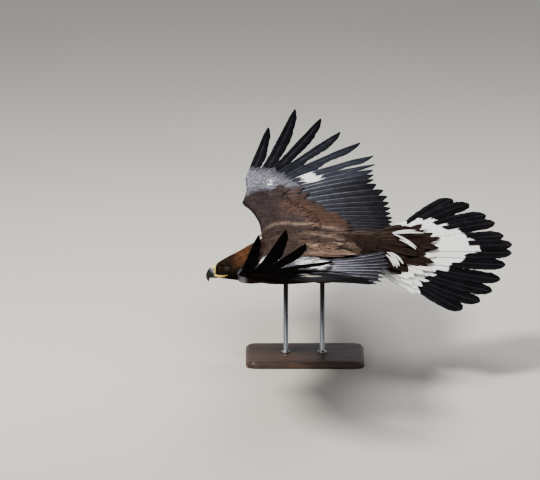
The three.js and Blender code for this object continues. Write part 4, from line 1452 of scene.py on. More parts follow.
class WingCoat:
    """The small coverts over and under one wing's core, and the colours of the wing's brown part."""

    turn_line = Profile((60, -3), (200, 0), (300, 10), (385, 24), (430, 30), (500, 44), (560, 72))
    brown_edge = {
        "right": Profile(
            (-185, 390), (-170, 405), (-152, 430), (-109, 470), (-43, 505), (11, 490), (66, 430), (115, 325),
            (126, 245), (230, 190),
        ),
        # the left wing's brown part ends close to the body, as beyond it the coverts carry painted sheen
        "left": Profile((-185, 400), (-120, 430), (-90, 330), (-60, 190), (-20, 112), (100, 100), (230, 95)),
    }

    def __init__(self, form: WingForm, rng: Generator) -> None:
        """Keeps the wing's form and the source of variation."""
        self.form = form
        self.rng = rng

    def colour(self, h: Array, x: Array) -> Array:
        """Brown-grey in front, rust in the middle of the arm, grey with painted sheen beyond the brown part's
        edge.

        Args:
            h: places along the span.
            x: the same places' x.

        Returns:
            The colour at each.
        """
        brown = 1 - smoothstep(h - self.brown_edge[self.form.name](x), -16, 16)
        streak = 0.5 + 0.5 * np.sin(h * 0.33 + 1.6 * np.sin(x * 0.03 + h * 0.014) + 0.8 * np.sin(h * 0.11))
        fine = 0.5 + 0.5 * np.sin(h * 0.9 + 2.0 * np.sin(x * 0.02))
        rust = smoothstep(x, -110, -20) * smoothstep(h, 120, 200) * (1 - 0.45 * smoothstep(h, 330, 420))
        front = mix(PALETTE.patagium, PALETTE.mantle, 0.6 * streak)
        warm = mix(front, PALETTE.rust, rust * (0.25 + 0.75 * streak * (0.6 + 0.4 * fine)))
        dark = np.exp(-(((h - 215) / 60) ** 2) - ((x + 30) / 40) ** 2)
        warm = mix(warm, PALETTE.slate, 0.7 * dark)
        inner = mix(PALETTE.mantle, PALETTE.fold, 0.12 * streak)
        warm = mix(inner, warm, smoothstep(h, 100, 170))
        # painted highlight: a pale line along the far wing's ridge
        ridge = bell(h - WING_RIDGE_HIGHLIGHT(x), 15) * (1 - smoothstep(np.abs(x), 90, 140))
        warm = mix(warm, PALETTE.fold * 1.35, 0.6 * ridge * (self.form.side > 0))
        # beyond the brown part's edge: grey and slate that stand in for painted sheen
        dull = 0.6 * streak * fine + 0.1 + 0.55 * (1 - smoothstep(h, 400, 500))
        return mix(mix(PALETTE.grey, PALETTE.slate, dull), warm, brown)

    def surface(self, top: bool) -> Surface:
        """The core's surface joined smoothly to the layer of coverts that leaves it, read by x and span."""
        form = self.form

        def at(x: Array, h: Array) -> Array:
            """The place at x and span h."""
            line = form.upper if top else form.lower
            core = form.thick(h) * line(form.share(h, x))
            root = WRIST_X + SECONDARY_ROOT((WRIST_H - h) / 23.2)
            d = x - root
            lower = 0.049 * np.maximum(0, h - 400)
            layer = (9.4 if top else -8.4) * smoothstep(d, 0, 45) + vane_arch(d) - lower
            sign = 1 if top else -1
            dz = sign * smooth_max(core * sign, np.where(d > 0, layer * sign, -60), 3.0)
            return form.point(h, x, dz)

        return at

    def seeds(self, top: bool) -> Seeds:
        """Roots in lines along the span, from the leading edge back, smaller in front.

        Args:
            top: whether they are on the wing's upper side.

        Returns:
            The roots with their sizes and colours.
        """
        hs, xs, share, k = [], [], 0.01, 0
        while share < 0.9:
            step = 0.026 + 0.036 * share
            span = 4.2 + 3.6 * share
            h = np.arange(48 + span * 0.5 * (k % 2), 578, span)
            h = h + self.rng.normal(0, 0.22 * span, len(h))
            s = share + self.rng.normal(0, 0.25 * step, len(h))
            hs.append(h)
            xs.append(self.form.leading(h) + self.form.chord(h) * np.clip(s, 0.005, 1))
            share += step
            k += 1
        h, x = np.concatenate(hs), np.concatenate(xs)
        s = self.form.share(h, x)
        turn = np.radians(self.turn_line(h)) + self.rng.normal(0, 0.08, len(h))
        length = (15 + 30 * np.clip(s, 0, 1)) * (1 + self.rng.normal(0, 0.12, len(h)))
        hand = smoothstep(h, 395, 440) * top
        length = length * (1 - 0.25 * smoothstep(h, 430, 570)) * (1 + 0.7 * hand)
        width = (3.4 + 3.2 * np.clip(s, 0, 1)) * (1 - 0.35 * hand)
        # painted shade: the underside coverts are near-black brown
        colour = self.colour(h, x + length * 0.5) if top else mix(PALETTE.under, PALETTE.belly, 0.75)
        tone = 1 - 0.12 * hand + (0.12 + 0.22 * hand) * self.rng.normal(size=len(h))
        colour = colour * np.clip(tone, 0.3, 1.5)[:, None]
        # painted glint: a grey edge at the bend of the wing's underside
        if not top:
            rim = (1 - smoothstep(s, 0.07, 0.16)) * smoothstep(h, 385, 420)
            colour = mix(colour, PALETTE.grey * 0.7, rim)
        edge = mix(colour, PALETTE.fold, 0.12 if top else 0.05)
        white = np.zeros(len(h))
        # white markings and painted glints, from the same patches as the big feathers
        if top:
            for patch in WHITE_MARKS_AND_GLINTS[self.form.name]:
                weight = patch.weight(h, x + length * 0.5) * (0.3 + 0.7 * self.rng.random(len(h)))
                white = np.maximum(white, weight)
        return Seeds(x, h, turn, length, width, np.full(len(h), 1.6), colour, edge, white)

    def make(self) -> dict[str, Batch]:
        """The small coverts above and below."""
        made = {}
        for top, name in ((True, "lesser_coverts"), (False, "underwing_coverts")):
            out = np.array([0, 0, 1.0 if top else -1.0])
            drape = Drape(self.surface(top), same_scale, lambda at, out=out: out)
            made[name] = drape.feathers(self.seeds(top), Leaf.LANCE)
        return made


class Scapulars:
    """The long shoulder feathers that lie over the join of body and wing, side by side."""

    def __init__(self, coat: WingCoat) -> None:
        """Keeps the wing's form, its upper side and the source of variation."""
        self.form = coat.form
        self.rng = coat.rng
        self.over = coat.surface(True)

    def surface(self, x: Array, y: Array) -> Array:
        """The higher of back and wing, with a smooth join, read by x and the distance from the middle."""
        body = BODY.top_height(x, y * self.form.side)
        h = np.maximum(y, 46)
        wing = self.over(x, h)[..., 2] - 60 * smoothstep(-y, -52, -40)
        return np.stack(np.broadcast_arrays(x, y * self.form.side, smooth_max(body, wing, 14.0)), -1)

    def make(self) -> Batch:
        """Rows from the shoulder back, longer behind, fanned a little outwards."""
        ps, qs = [], []
        for k in range(14):
            y = np.arange(22, 124, 4.6) + 2.3 * (k % 2)
            away = np.abs(y - 74)
            keep = away < 54 - 3.4 * k + self.rng.normal(0, 5, len(y))
            ps.append((-120 + 12.5 * k - 0.3 * away + self.rng.normal(0, 5, len(y)))[keep])
            qs.append((y + self.rng.normal(0, 1.5, len(y)))[keep])
        p, q = np.concatenate(ps), np.concatenate(qs)
        length = 44 + 0.44 * (p + 120) + self.rng.normal(0, 7, len(p))
        width = 5.2 + 0.028 * (p + 120)
        turn = np.radians(0.10 * (q - 60)) + self.rng.normal(0, 0.05, len(p))
        warm = self.rng.random(len(p)) * smoothstep(p, -70, -10) * smoothstep(q, 40, 60)
        colour = mix(PALETTE.mantle, PALETTE.rust, 0.5 * warm)
        band = smoothstep(q, 46, 60) * (1 - smoothstep(q, 100, 118)) * smoothstep(p, -90, -40)
        colour = mix(colour, PALETTE.fold, 0.6 * band * self.rng.random(len(p)))
        # on the near side the scapulars get pale brown and rust streaks, partly their own colour and partly
        # brightened as painted light
        near = smoothstep(q, 32, 46) * (1 - smoothstep(q, 84, 100)) * smoothstep(p, -70, -30)
        near = near * (self.form.side < 0)
        colour = mix(colour, PALETTE.rump, 0.8 * smoothstep(p, 0, 50) * (1 - near))
        warm = mix(PALETTE.fold * 1.7, PALETTE.rust * 1.5, self.rng.random(len(p)))
        colour = mix(colour, warm, near * (0.1 + 0.85 * self.rng.random(len(p))))
        # painted highlight: the back's pale slanting line carried onto the scapulars
        colour = mix(colour, PALETTE.fold * 1.5, 0.7 * back_highlight(p + 20, q * self.form.side))
        colour = colour * (1 + self.rng.normal(0, 0.12, len(p)))[:, None]
        edge = mix(colour, PALETTE.fold, 0.3)
        seeds = Seeds(p, q, turn, length, width, np.full(len(p), 3.0), colour, edge, np.zeros(len(p)))
        drape = Drape(self.surface, same_scale, lambda at: np.array([0, 0, 1.0]))
        return drape.feathers(seeds, Leaf.LANCE, 0.6, 1.2)


# Lines and tubes


def catmull(points: Array, t: Array) -> Array:
    """A smooth line through points, read by t from 0 to 1: each stretch is a cubic by four of the points."""
    points = np.asarray(points, float)
    n = len(points) - 1
    u = np.clip(np.asarray(t, float) * n, 0, n)
    i = np.clip(u.astype(int), 0, n - 1)
    f = (u - i)[..., None]
    padded = np.concatenate([[2 * points[0] - points[1]], points, [2 * points[-1] - points[-2]]])
    a, b, c, d = padded[i], padded[i + 1], padded[i + 2], padded[i + 3]
    return 0.5 * (2 * b + (c - a) * f + (2 * a - 5 * b + 4 * c - d) * f**2 + (3 * b - a - 3 * c + d) * f**3)


def tangent(points: Array, t: Array, step: float = 1e-3) -> Array:
    """The way a smooth line runs at t."""
    return unit(catmull(points, np.minimum(t + step, 1)) - catmull(points, np.maximum(t - step, 0)))


def tube(points: Array, radius: Surface, rows: int, sides: int) -> Array:
    """Rings round a line: centre + r (across cos a + up sin a).

    Args:
        points: the line's, in millimetres.
        radius: read by t along the line and the angle a.
        rows: number of rings.
        sides: points in a ring.

    Returns:
        Points as rows by sides by 3.
    """
    t = np.linspace(0, 1, rows)
    centre, along = catmull(points, t), tangent(points, t)
    across = unit(np.array([0, 1.0, 0]) - along * along[:, 1:2])
    up = np.cross(along, across)
    tt, aa = grid_of(t, angles(sides))
    r = radius(tt, aa)
    return ring_points(centre, across, up, np.cos(aa) * r, np.sin(aa) * r)


def ring_points(centre: Array, across: Array, up: Array, y: Array, z: Array) -> Array:
    """Rings at centres, y along each ring's across and z along its up."""
    return centre[:, None] + across[..., None, :] * y[..., None] + up[:, None] * z[..., None]


def by_profile(profile: Profile) -> Surface:
    """A tube's radius that is the same all round."""
    return lambda t, a: profile(t)


def closed_rings(name: str, rings: Array) -> Object:
    """A closed object skinned over rings, each end fanned round its middle, turned outwards.

    Args:
        name: of the object.
        rings: points as rows by sides by 3.

    Returns:
        The object, without a finish.
    """
    rows, sides = rings.shape[:2]
    points = np.concatenate([rings.reshape(-1, 3), rings[0].mean(0)[None], rings[-1].mean(0)[None]])
    g = np.arange(rows * sides).reshape(rows, sides)
    right = np.roll(g, -1, 1)
    quads = np.stack([g[:-1], right[:-1], right[1:], g[1:]], -1).reshape(-1, 4)
    first = np.stack([np.full(sides, rows * sides), right[0], g[0]], -1)
    last = np.stack([np.full(sides, rows * sides + 1), g[-1], right[-1]], -1)
    tris = np.concatenate([first, last])
    if six_volumes(points, quads) + six_volumes(points, tris) < 0:
        quads, tris = quads[:, ::-1], tris[:, ::-1]
    return fresh_object(name, points, (quads, tris))


def ring_object(name: str, rings: Array, finish: Material) -> Object:
    """A closed piece over rings, with its finish, on the frame."""
    made = closed_rings(name, rings)
    dress(made, finish)
    return made


def world_points(made: Object) -> Array:
    """A mesh's points in millimetres."""
    found = np.zeros(len(made.data.vertices) * 3, np.float32)
    made.data.vertices.foreach_get("co", found)
    return found.reshape(-1, 3).astype(float) / MM


def fuse(whole: Object, parts: Sequence[Object]) -> None:
    """Joins closed parts to a whole by one union.

    Args:
        whole: the object that stays.
        parts: those that go into it and are removed.
    """
    group = bpy.data.collections.new("joined_parts")
    bpy.context.scene.collection.children.link(group)
    for part in parts:
        group.objects.link(part)
    modifier = whole.modifiers.new("union", "BOOLEAN")
    modifier.operation = "UNION"
    modifier.operand_type = "COLLECTION"
    modifier.collection = group
    modifier.solver = "MANIFOLD"
    graph = bpy.context.evaluated_depsgraph_get()
    mesh = bpy.data.meshes.new_from_object(whole.evaluated_get(graph))
    whole.modifiers.clear()
    old = whole.data
    whole.data = mesh
    bpy.data.meshes.remove(old)
    for part in list(parts):
        bpy.data.objects.remove(part)
    bpy.data.collections.remove(group)
    mesh.materials.clear()
    mesh.polygons.foreach_set("material_index", np.zeros(len(mesh.polygons), np.int32))
    mesh.polygons.foreach_set("use_smooth", np.ones(len(mesh.polygons), bool))


# Flesh under the plumage


@dataclass
class LegForm:
    """A feathered leg tucked back under the belly, and its foot, as the right one before the body's roll."""

    side: int
    length: float = 168.0
    line: tuple = ((-15, 40, -58), (40, 40, -68), (98, 36, -70), (150, 31, -67))
    radii: Profile = Profile((0, 12), (0.333, 26), (0.667, 18), (1, 11))
    toe_root: tuple = (149, 31, -68)
    toes: tuple = ((-9, 33, 5, 0), (0, 40, 5, 0), (9, 33, 4.6, 0), (-3, 22, 5.4, -14))
    claw: float = 22.0

    def placed(self, points: Sequence) -> Array:
        """Points carried to this side and rolled with the body."""
        p = np.array(points, float)
        p[:, 1] *= self.side
        middle = BODY.middle(p[:, 0])
        return BODY.rolled(p[:, 0], p[:, 1], p[:, 2] - middle)

    def surface(self, inset: float) -> Surface:
        """The leg's skin, read by millimetres along it and the angle round it, carried on past its end."""
        line = self.placed(self.line)

        def at(p: Array, q: Array) -> Array:
            """The place at p along and angle q."""
            t = np.clip(p / self.length, 0, 1)
            beyond = np.maximum(0, p - self.length)
            along = tangent(line, t, 2e-3)
            centre = catmull(line, t) + along * beyond[..., None]
            across = unit(np.array([0, 1.0, 0]) - along * along[..., 1:2])
            up = np.cross(along, across)
            r = (self.radii(t) - inset + 0.12 * beyond)[..., None]
            return centre + across * np.cos(q)[..., None] * r + up * np.sin(q)[..., None] * r

        return at

    def toe_lines(self, toe: tuple) -> tuple[Array, Array]:
        """The lines of a toe, given by spread, length, radius and drop, and of its claw, which curls down."""
        spread, length, _, drop = toe
        root = np.array(self.toe_root, float) + (4, spread * 0.5, drop * 0.4)

        def at(s: float, z: float) -> Array:
            """The place at share s of the toe, raised by z."""
            return root + (length * s, spread * s, drop * 0.6 * s + z)

        end = at(1, -3)
        start = end - (1, 0, 0)
        claw = [start, start + (self.claw * 0.5, 0, -4), start + (self.claw * 0.8, 0, -13)]
        return np.array([root, at(0.35, 2), at(0.7, 2), end]), np.array(claw)


@dataclass
class Flesh:
    """One skin for head, neck, torso, wings, legs and the tail's root, just inside the plumage."""

    coat: Coat
    wings: tuple[WingCoat, ...]
    legs: tuple[LegForm, ...]
    inset: float = 2.0
    shade: float = 0.75
    wing_start: float = 62.0
    wing_end: float = 30.0
    brow_line: tuple = ((-250, 11, -49), (-229, 25, -43.5), (-204, 25.5, -50))
    brow: Profile = Profile((0, 1.0), (0.5, 4.3), (1, 1.0))

    def trunk(self) -> Array:
        """Rings of the body, closer on the head."""
        x = np.concatenate([np.linspace(-257, -190, 60), np.linspace(-188.5, 300, 150)])
        xx, aa = grid_of(x, angles(96))
        shrink = -self.inset * (0.35 + 0.65 * smoothstep(xx, -225, -150))
        return BODY.surface(xx, aa, shrink)

    def wing_core(self, form: WingForm) -> Array:
        """Rings of a wing's core along the span."""
        count = 34
        s = np.concatenate([np.linspace(0, 1, count), np.linspace(1, 0, count)[1:-1]]) ** 1.6
        hh, ss = grid_of(np.linspace(45, 590, 110), s)
        on_top = np.arange(len(s)) < count
        dz = form.thick(hh) * np.where(on_top, form.upper(ss), form.lower(ss))
        dz = dz - np.sign(dz) * np.minimum(0.8, np.abs(dz) * 0.3)
        return form.point(hh, form.leading(hh) + 1.0 + form.chord(hh) * ss * 0.985, dz)

    def build(self, finish: Material) -> Object:
        """Joins the forms into one closed skin and stores the plumage's colours on it."""
        skin = closed_rings("skin", self.trunk())
        parts = [closed_rings(f"core_{w.form.name}", self.wing_core(w.form)) for w in self.wings]
        for leg in self.legs:
            p, q = grid_of(np.linspace(0, leg.length, 40), angles(32))
            parts.append(closed_rings(f"thigh_{leg.side}", leg.surface(1.6)(p, q)))
        for side in (1, -1):
            line = np.array(self.brow_line) * (1, side, 1) + (0, 0, SHOULDER_Z)
            parts.append(closed_rings(f"brow_{side}", tube(line, by_profile(self.brow), 30, 14)))
        fuse(skin, parts)
        at = world_points(skin)
        colour = self.coat.body_colour(at)
        span = np.abs(at[:, 1])
        for coat in self.wings:
            on_wing = (span > self.wing_start) & (at[:, 0] < self.wing_end)
            mine = on_wing & (np.sign(at[:, 1]) == coat.form.side)
            colour = np.where(mine[:, None], coat.colour(span, at[:, 0]), colour)
        set_colour(skin.data, "plumage", colour * self.shade)
        set_value(skin.data, "white", np.zeros(len(at)))
        uv = at[:, :2] / VANE_CELL
        corner = np.zeros(len(skin.data.loops), np.int32)
        skin.data.loops.foreach_get("vertex_index", corner)
        set_map(skin.data, "Vane", uv[corner])
        dress(skin, finish)
        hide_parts("torso", "neck", "head", "leg_right", "leg_left")
        return skin


@dataclass(frozen=True)
class SolidFinish:
    """A bare part: stored colour with a fine mottle, and its gloss."""

    name: str
    roughness: float
    mottle: float
    scale: float
    coat: float = 0.0
    bump: float = 0.15
    specular: float = 0.5

    def build(self) -> Material:
        """Builds the material on the colour stored on the mesh."""
        n = Nodes(self.name)
        grain = n.noise(n.place(), self.scale, 4.0)
        shade = n.spread(grain, 0.3, 0.7, 1 - self.mottle, 1 + self.mottle)
        rough = n.spread(grain, 0.2, 0.8, self.roughness * 0.8, self.roughness * 1.25)
        n.surface(Base_Color=n.shaded("tint", shade), Roughness=rough, Specular_IOR_Level=self.specular)
        n.surface(Coat_Weight=self.coat, Coat_Roughness=0.05)
        n.bump(grain, self.bump, 0.0006)
        return n.material


@dataclass
class Bill:
    """The hooked bill with its cere, the yellow corner of the mouth, and the lower bill."""

    spine: tuple = ((-249, 0, -66), (-262, 0, -68), (-272, 0, -75), (-278, 0, -86), (-277, 0, -101))
    depth: Profile = Profile((0, 15.5), (0.3, 13.5), (0.6, 9.5), (0.85, 5), (1, 0.6))
    width: Profile = Profile((0, 13), (0.3, 11), (0.6, 7.6), (0.85, 3.8), (1, 0.6))
    lower_spine: tuple = ((-244, 0, -81), (-258, 0, -83), (-272, 0, -88))
    lower_depth: Profile = Profile((0, 7.5), (0.6, 6.5), (1, 1.5))
    lower_width: Profile = Profile((0, 14), (0.5, 10.5), (1, 3))
    power: float = 0.7
    cere_end: float = 0.27
    nostril: tuple = (-263, -63)
    upper_gape: Profile = Profile((0, 0.9), (0.2, 2.3), (0.5, 2.8), (0.75, 2.3), (1, 0.8))
    lower_gape: Profile = Profile((0, 1.8), (0.33, 2), (0.66, 1.9), (1, 0.7))

    def in_nostril(self, points: Array, long: float, high: float) -> Array:
        """How far points are from the nostril's middle: 1 on an oval of these half sizes, as a square."""
        x, z = self.nostril
        return ((points[..., 0] - x) / long) ** 2 + ((points[..., 2] - SHOULDER_Z - z) / high) ** 2

    def sweep(self, spine: tuple, deep: Profile, wide: Profile, rows: int, sides: int, cere: bool) -> tuple:
        """Oval sections along a line in the middle plane.

        Args:
            spine: the line's points.
            deep: half the height of a section, by t along the line.
            wide: half its width.
            rows: number of sections.
            sides: points in a section.
            cere: whether the sections are fuller at the base and pressed in at each nostril.

        Returns:
            The rings, and t at each of their points.
        """
        t = np.linspace(0, 1, rows)
        line = np.array(spine)
        across = np.array([0, 1.0, 0])
        up = np.cross(tangent(line, t), across)
        tt, aa = grid_of(t, angles(sides))
        swell = 0.5 * (1 - smoothstep(tt, self.cere_end - 0.02, self.cere_end + 0.02)) if cere else 0 * tt
        y = np.sign(np.cos(aa)) * np.abs(np.cos(aa)) ** self.power * (wide(tt) + swell - 0.3)
        z = np.sin(aa) * (deep(tt) + swell - 0.3)
        rings = ring_points(catmull(line + (0, 0, SHOULDER_Z), t), across, up, y, z)
        if cere:
            push = 2.2 * bell(self.in_nostril(rings, 3.4, 1.9), 1) * (np.abs(y) > 5)
            rings[..., 1] -= np.sign(rings[..., 1]) * push
        return rings, tt

    def cheek(self, x: float, z: float) -> tuple[float, float, float]:
        """The place on the skull's side at x and a height, half a millimetre out."""
        top, low = float(BODY.back(x)), float(BODY.underside(x))
        share = (2 * z - top - low) / (top - low)
        return (x, float(BODY.width(x)) * math.sqrt(max(0.0, 1 - share * share)) ** 0.92 + 0.5, z)

    def build(self, horn: Material, waxy: Material) -> None:
        """Makes the upper bill, the lower bill and the soft edges of the mouth."""
        rings, t = self.sweep(self.spine, self.depth, self.width, 90, 56, True)
        upper = ring_object("bill_upper_horn", rings, horn)
        t = np.concatenate([t.ravel(), [0, 1]])
        at = world_points(upper)
        edge = self.cere_end + 0.03 * (at[:, 2] - SHOULDER_Z + 66) / 12
        grey = mix(linear(112, 118, 134), linear(18, 17, 19), smoothstep(t, 0.3, 0.44))
        tint = mix(linear(214, 204, 122), grey, smoothstep(t - edge, -0.015, 0.02))
        # painted shade: the nostril's opening is a dark oval instead of a hole
        dark = (self.in_nostril(at, 3.0, 1.6) < 1) & (np.abs(at[:, 1]) > 4)
        tint = np.where(dark[:, None], linear(30, 26, 20), tint)
        set_colour(upper.data, "tint", tint)
        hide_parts("bill_upper")
        rings, t = self.sweep(self.lower_spine, self.lower_depth, self.lower_width, 40, 40, False)
        lower = ring_object("bill_lower_horn", rings, horn)
        t = np.concatenate([t.ravel(), [0, 1]])[:, None]
        set_colour(lower.data, "tint", linear(92, 88, 84) * (1 - t) + linear(26, 25, 27) * t)
        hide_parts("bill_lower")
        upper_line = [(-261, 10.6, -79), (-256, 12.6, -79.3)]
        upper_line += [self.cheek(x, z) for x, z in ((-248, -79.4), (-236, -78.3), (-222, -76.2))]
        lower_line = [(-264, 5, -85)]
        lower_line += [self.cheek(x, z) for x, z in ((-254, -84.6), (-244, -84), (-229, -81.4))]
        for side, word in ((1, "right"), (-1, "left")):
            for name, line, radius, colour in (
                ("gape_upper", upper_line, self.upper_gape, linear(232, 206, 96)),
                ("gape_lower", lower_line, self.lower_gape, linear(216, 148, 74)),
            ):
                points = np.array(line) * (1, side, 1) + (0, 0, SHOULDER_Z)
                rings = tube(points, by_profile(radius), 40, 16)
                made = ring_object(f"{name}_{word}", rings, waxy)
                set_colour(made.data, "tint", colour)


@dataclass
class Eyes:
    """The eyes and their lids: angles are from the line of sight."""

    pupil: float = 0.27
    iris: float = 0.62
    lid_long: float = 8.3
    lid_high: float = 6.9
    lid_out: float = 26.6

    def build(self, glass: Material, lid: Material) -> None:
        """Makes the balls, a little fuller in front of the pupil, each in a ring of lid."""
        for side, word in ((1, "right"), (-1, "left")):
            look = unit(np.array([-0.30, side * 1.0, 0.02]))
            u = unit(np.cross(look, (0, 0, 1.0)))
            v = np.cross(look, u)
            bb, aa = grid_of(np.linspace(0.02, np.pi - 0.02, 48), angles(40))
            r = HEAD.eye_radius - 0.25 + 0.5 * bell(bb, 0.5)
            ways = (np.cos(bb), np.sin(bb) * np.cos(aa), np.sin(bb) * np.sin(aa))
            ball = sum(axis * (way * r)[..., None] for axis, way in zip((look, u, v), ways))
            centre = HEAD.eye * (1, side, 1)
            made = ring_object(f"eyeball_{word}", centre + ball, glass)
            angle = np.concatenate([bb.ravel(), [0, np.pi]])[:, None]
            brown = linear(58, 36, 20) * (0.8 + 0.4 * np.sin(40 * angle) ** 2)
            round_pupil = np.where(angle < self.iris, brown, linear(20, 14, 11))
            tint = np.where(angle < self.pupil, linear(6, 5, 5), round_pupil)
            set_colour(made.data, "tint", tint)
            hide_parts(f"eye_{word}")
            t = np.linspace(0, 2 * np.pi, 60)
            out = np.full(len(t), side * (self.lid_out - HEAD.eye[1]))
            high = np.sin(t) * self.lid_high - 0.4 * np.cos(2 * t)
            oval = np.stack([np.cos(t) * self.lid_long, out, high], -1)
            rings = tube(centre + oval, lambda s, a: 1.5 + 0.25 * np.sin(a), 90, 12)
            ring = ring_object(f"eyelid_{word}", rings, lid)
            set_colour(ring.data, "tint", linear(26, 22, 20))


@dataclass
class Foot:
    """A foot with closed toes, their scutes and claws."""

    leg: LegForm
    word: str

    def build(self, scaly: Material, horn: Material) -> None:
        """Makes toes whose upper side rises in scutes, r = r0 (1 + 0.07 |sin 14 pi t|), and pointed claws."""
        root = np.array(self.leg.toe_root, float)
        palm = self.leg.placed([root, root + (8, 0, 0), root + (16, 0, -1)])
        thick = Profile((0, 9), (0.5, 9.5), (1, 6))
        foot = closed_rings(f"foot_{self.word}_skin", tube(palm, by_profile(thick), 24, 28))
        toes, claws = [], []
        for k, toe in enumerate(self.leg.toes):
            line, claw = self.leg.toe_lines(toe)
            r = Profile((0, toe[2]), (0.33, toe[2] * 1.05), (0.66, toe[2] * 0.95), (1, toe[2] * 0.7))

            def rough(t: Array, a: Array, r: Profile = r) -> Array:
                """The radius with its scutes."""
                return (r(t) - 0.2) * (1 + 0.07 * np.abs(np.sin(14 * np.pi * t)) * (np.sin(a) > -0.2))

            toes.append(closed_rings(f"toe_{k}", tube(self.leg.placed(line), rough, 64, 20)))
            taper = by_profile(Profile((0, toe[2] * 0.62), (0.5, toe[2] * 0.44), (1, 0.25)))
            claws.append(closed_rings(f"claw_piece_{k}", tube(self.leg.placed(claw), taper, 30, 16)))
        fuse(foot, toes)
        dress(foot, scaly)
        set_colour(foot.data, "tint", linear(206, 168, 62))
        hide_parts(f"foot_{self.word}")
        first = claws[0]
        fuse(first, claws[1:])
        first.name = f"claws_{self.word}"
        first.data.name = first.name
        dress(first, horn)
        set_colour(first.data, "tint", linear(22, 20, 21))
        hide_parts(*(f"claw_{self.word}_{t}" for t in ("inner", "middle", "outer", "hind")))


# Stand and studio


@dataclass
class Stand:
    """A flat wooden base with rounded corners and two steel rods, each with a collar.

    The base's steps are [how far its edge is drawn in, height], the collar's are [radius, height].
    """

    length: float = 340.0
    width: float = 240.0
    corner: float = 30.0
    base_steps: tuple = (
        (2, 0), (0.4, 0.6), (0, 2), (0, 12.5), (0.4, 13.6), (1.6, 14.2), (4.2, 14.4), (4.8, 14.9), (5.0, 17),
        (5.7, 18.9), (7.4, 19.9), (9, 20), (9, 20),
    )
    rods: tuple[float, float] = (-55.0, 50.0)
    rod_radius: float = 7.0
    collar_steps: tuple = (
        (13.4, 20.05), (14, 20.6), (14, 23.6), (13.2, 24.6), (9.4, 25.2), (7.6, 26.4), (6.9, 28),
    )

    def outline(self, inset: float, count: int = 12) -> Array:
        """The base's edge, drawn in by an inset: four quarter circles joined by straight sides."""
        r = self.corner - inset
        a, b = self.length / 2 - inset - r, self.width / 2 - inset - r
        turn = np.linspace(0, np.pi / 2, count)
        corners = ((a, b, 0.0), (-a, b, np.pi / 2), (-a, -b, np.pi), (a, -b, 1.5 * np.pi))
        ring = [np.stack([x + r * np.cos(turn + s), y + r * np.sin(turn + s)], -1) for x, y, s in corners]
        return np.concatenate(ring)

    def base(self, wood: Material) -> Object:
        """Makes the base from rings that climb over a rounded edge and a shallow step to the top."""
        rings = np.stack([np.insert(self.outline(inset), 2, z, axis=1) for inset, z in self.base_steps])
        rings[-1, :, :2] *= 0.5
        made = ring_object("base_wood", rings, wood)
        for face in made.data.polygons:
            face.use_smooth = len(face.vertices) == 4
        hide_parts("stand_base")
        return made

    def build(self, wood: Material, steel: Material) -> None:
        """The base and the rods, each with a small collar on the base."""
        self.base(wood)
        a = angles(48)
        for x, word in zip(self.rods, ("front", "rear")):
            top = SHOULDER_Z + float(BODY.underside(x)) + 3.0
            steps = (*self.collar_steps, (self.rod_radius - 0.1, top))
            rings = np.stack([np.stack([x + r * np.cos(a), r * np.sin(a), 0 * a + z], -1) for r, z in steps])
            made = ring_object(f"rod_{word}_steel", rings, steel)
            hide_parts(f"stand_rod_{word}")


def wood_finish() -> Material:
    """Dark oiled walnut: long grain along X, rings by distorted bands, satin gloss."""
    n = Nodes("walnut")
    fine = n.noise(n.stretched((3.0, 34.0, 34.0)), 4.0, 8.0, 0.6)
    wave = n.add("ShaderNodeTexWave", wave_type="BANDS", bands_direction="Y")
    for key, value in {"Vector": n.place(), "Scale": 11.0, "Distortion": 5.0, "Detail": 3.0}.items():
        n.feed(wave.inputs[key], value)
    late, early, pores = rgba(linear(58, 38, 27)), rgba(linear(88, 60, 42)), rgba(linear(40, 26, 18))
    rings = n.blend(n.spread(wave.outputs["Fac"], 0.2, 0.9, 0, 1), late, early)
    colour = n.blend(n.spread(fine, 0.35, 0.65, 0, 0.7), rings, pores)
    n.surface(Base_Color=colour, Roughness=n.spread(fine, 0.2, 0.8, 0.32, 0.5))
    n.bump(fine, 0.12, 0.0008)
    return n.material


def steel_finish() -> Material:
    """Brushed steel: fine rings round the rod."""
    n = Nodes("brushed_steel")
    fine = n.noise(n.stretched((20.0, 20.0, 900.0)), 2.0, 4.0)
    dull, bright = rgba(linear(150, 154, 158)), rgba(linear(186, 189, 192))
    rough = n.spread(fine, 0.3, 0.7, 0.24, 0.42)
    n.surface(Base_Color=n.blend(fine, dull, bright), Metallic=1.0, Roughness=rough)
    n.bump(fine, 0.05, 0.0003)
    return n.material


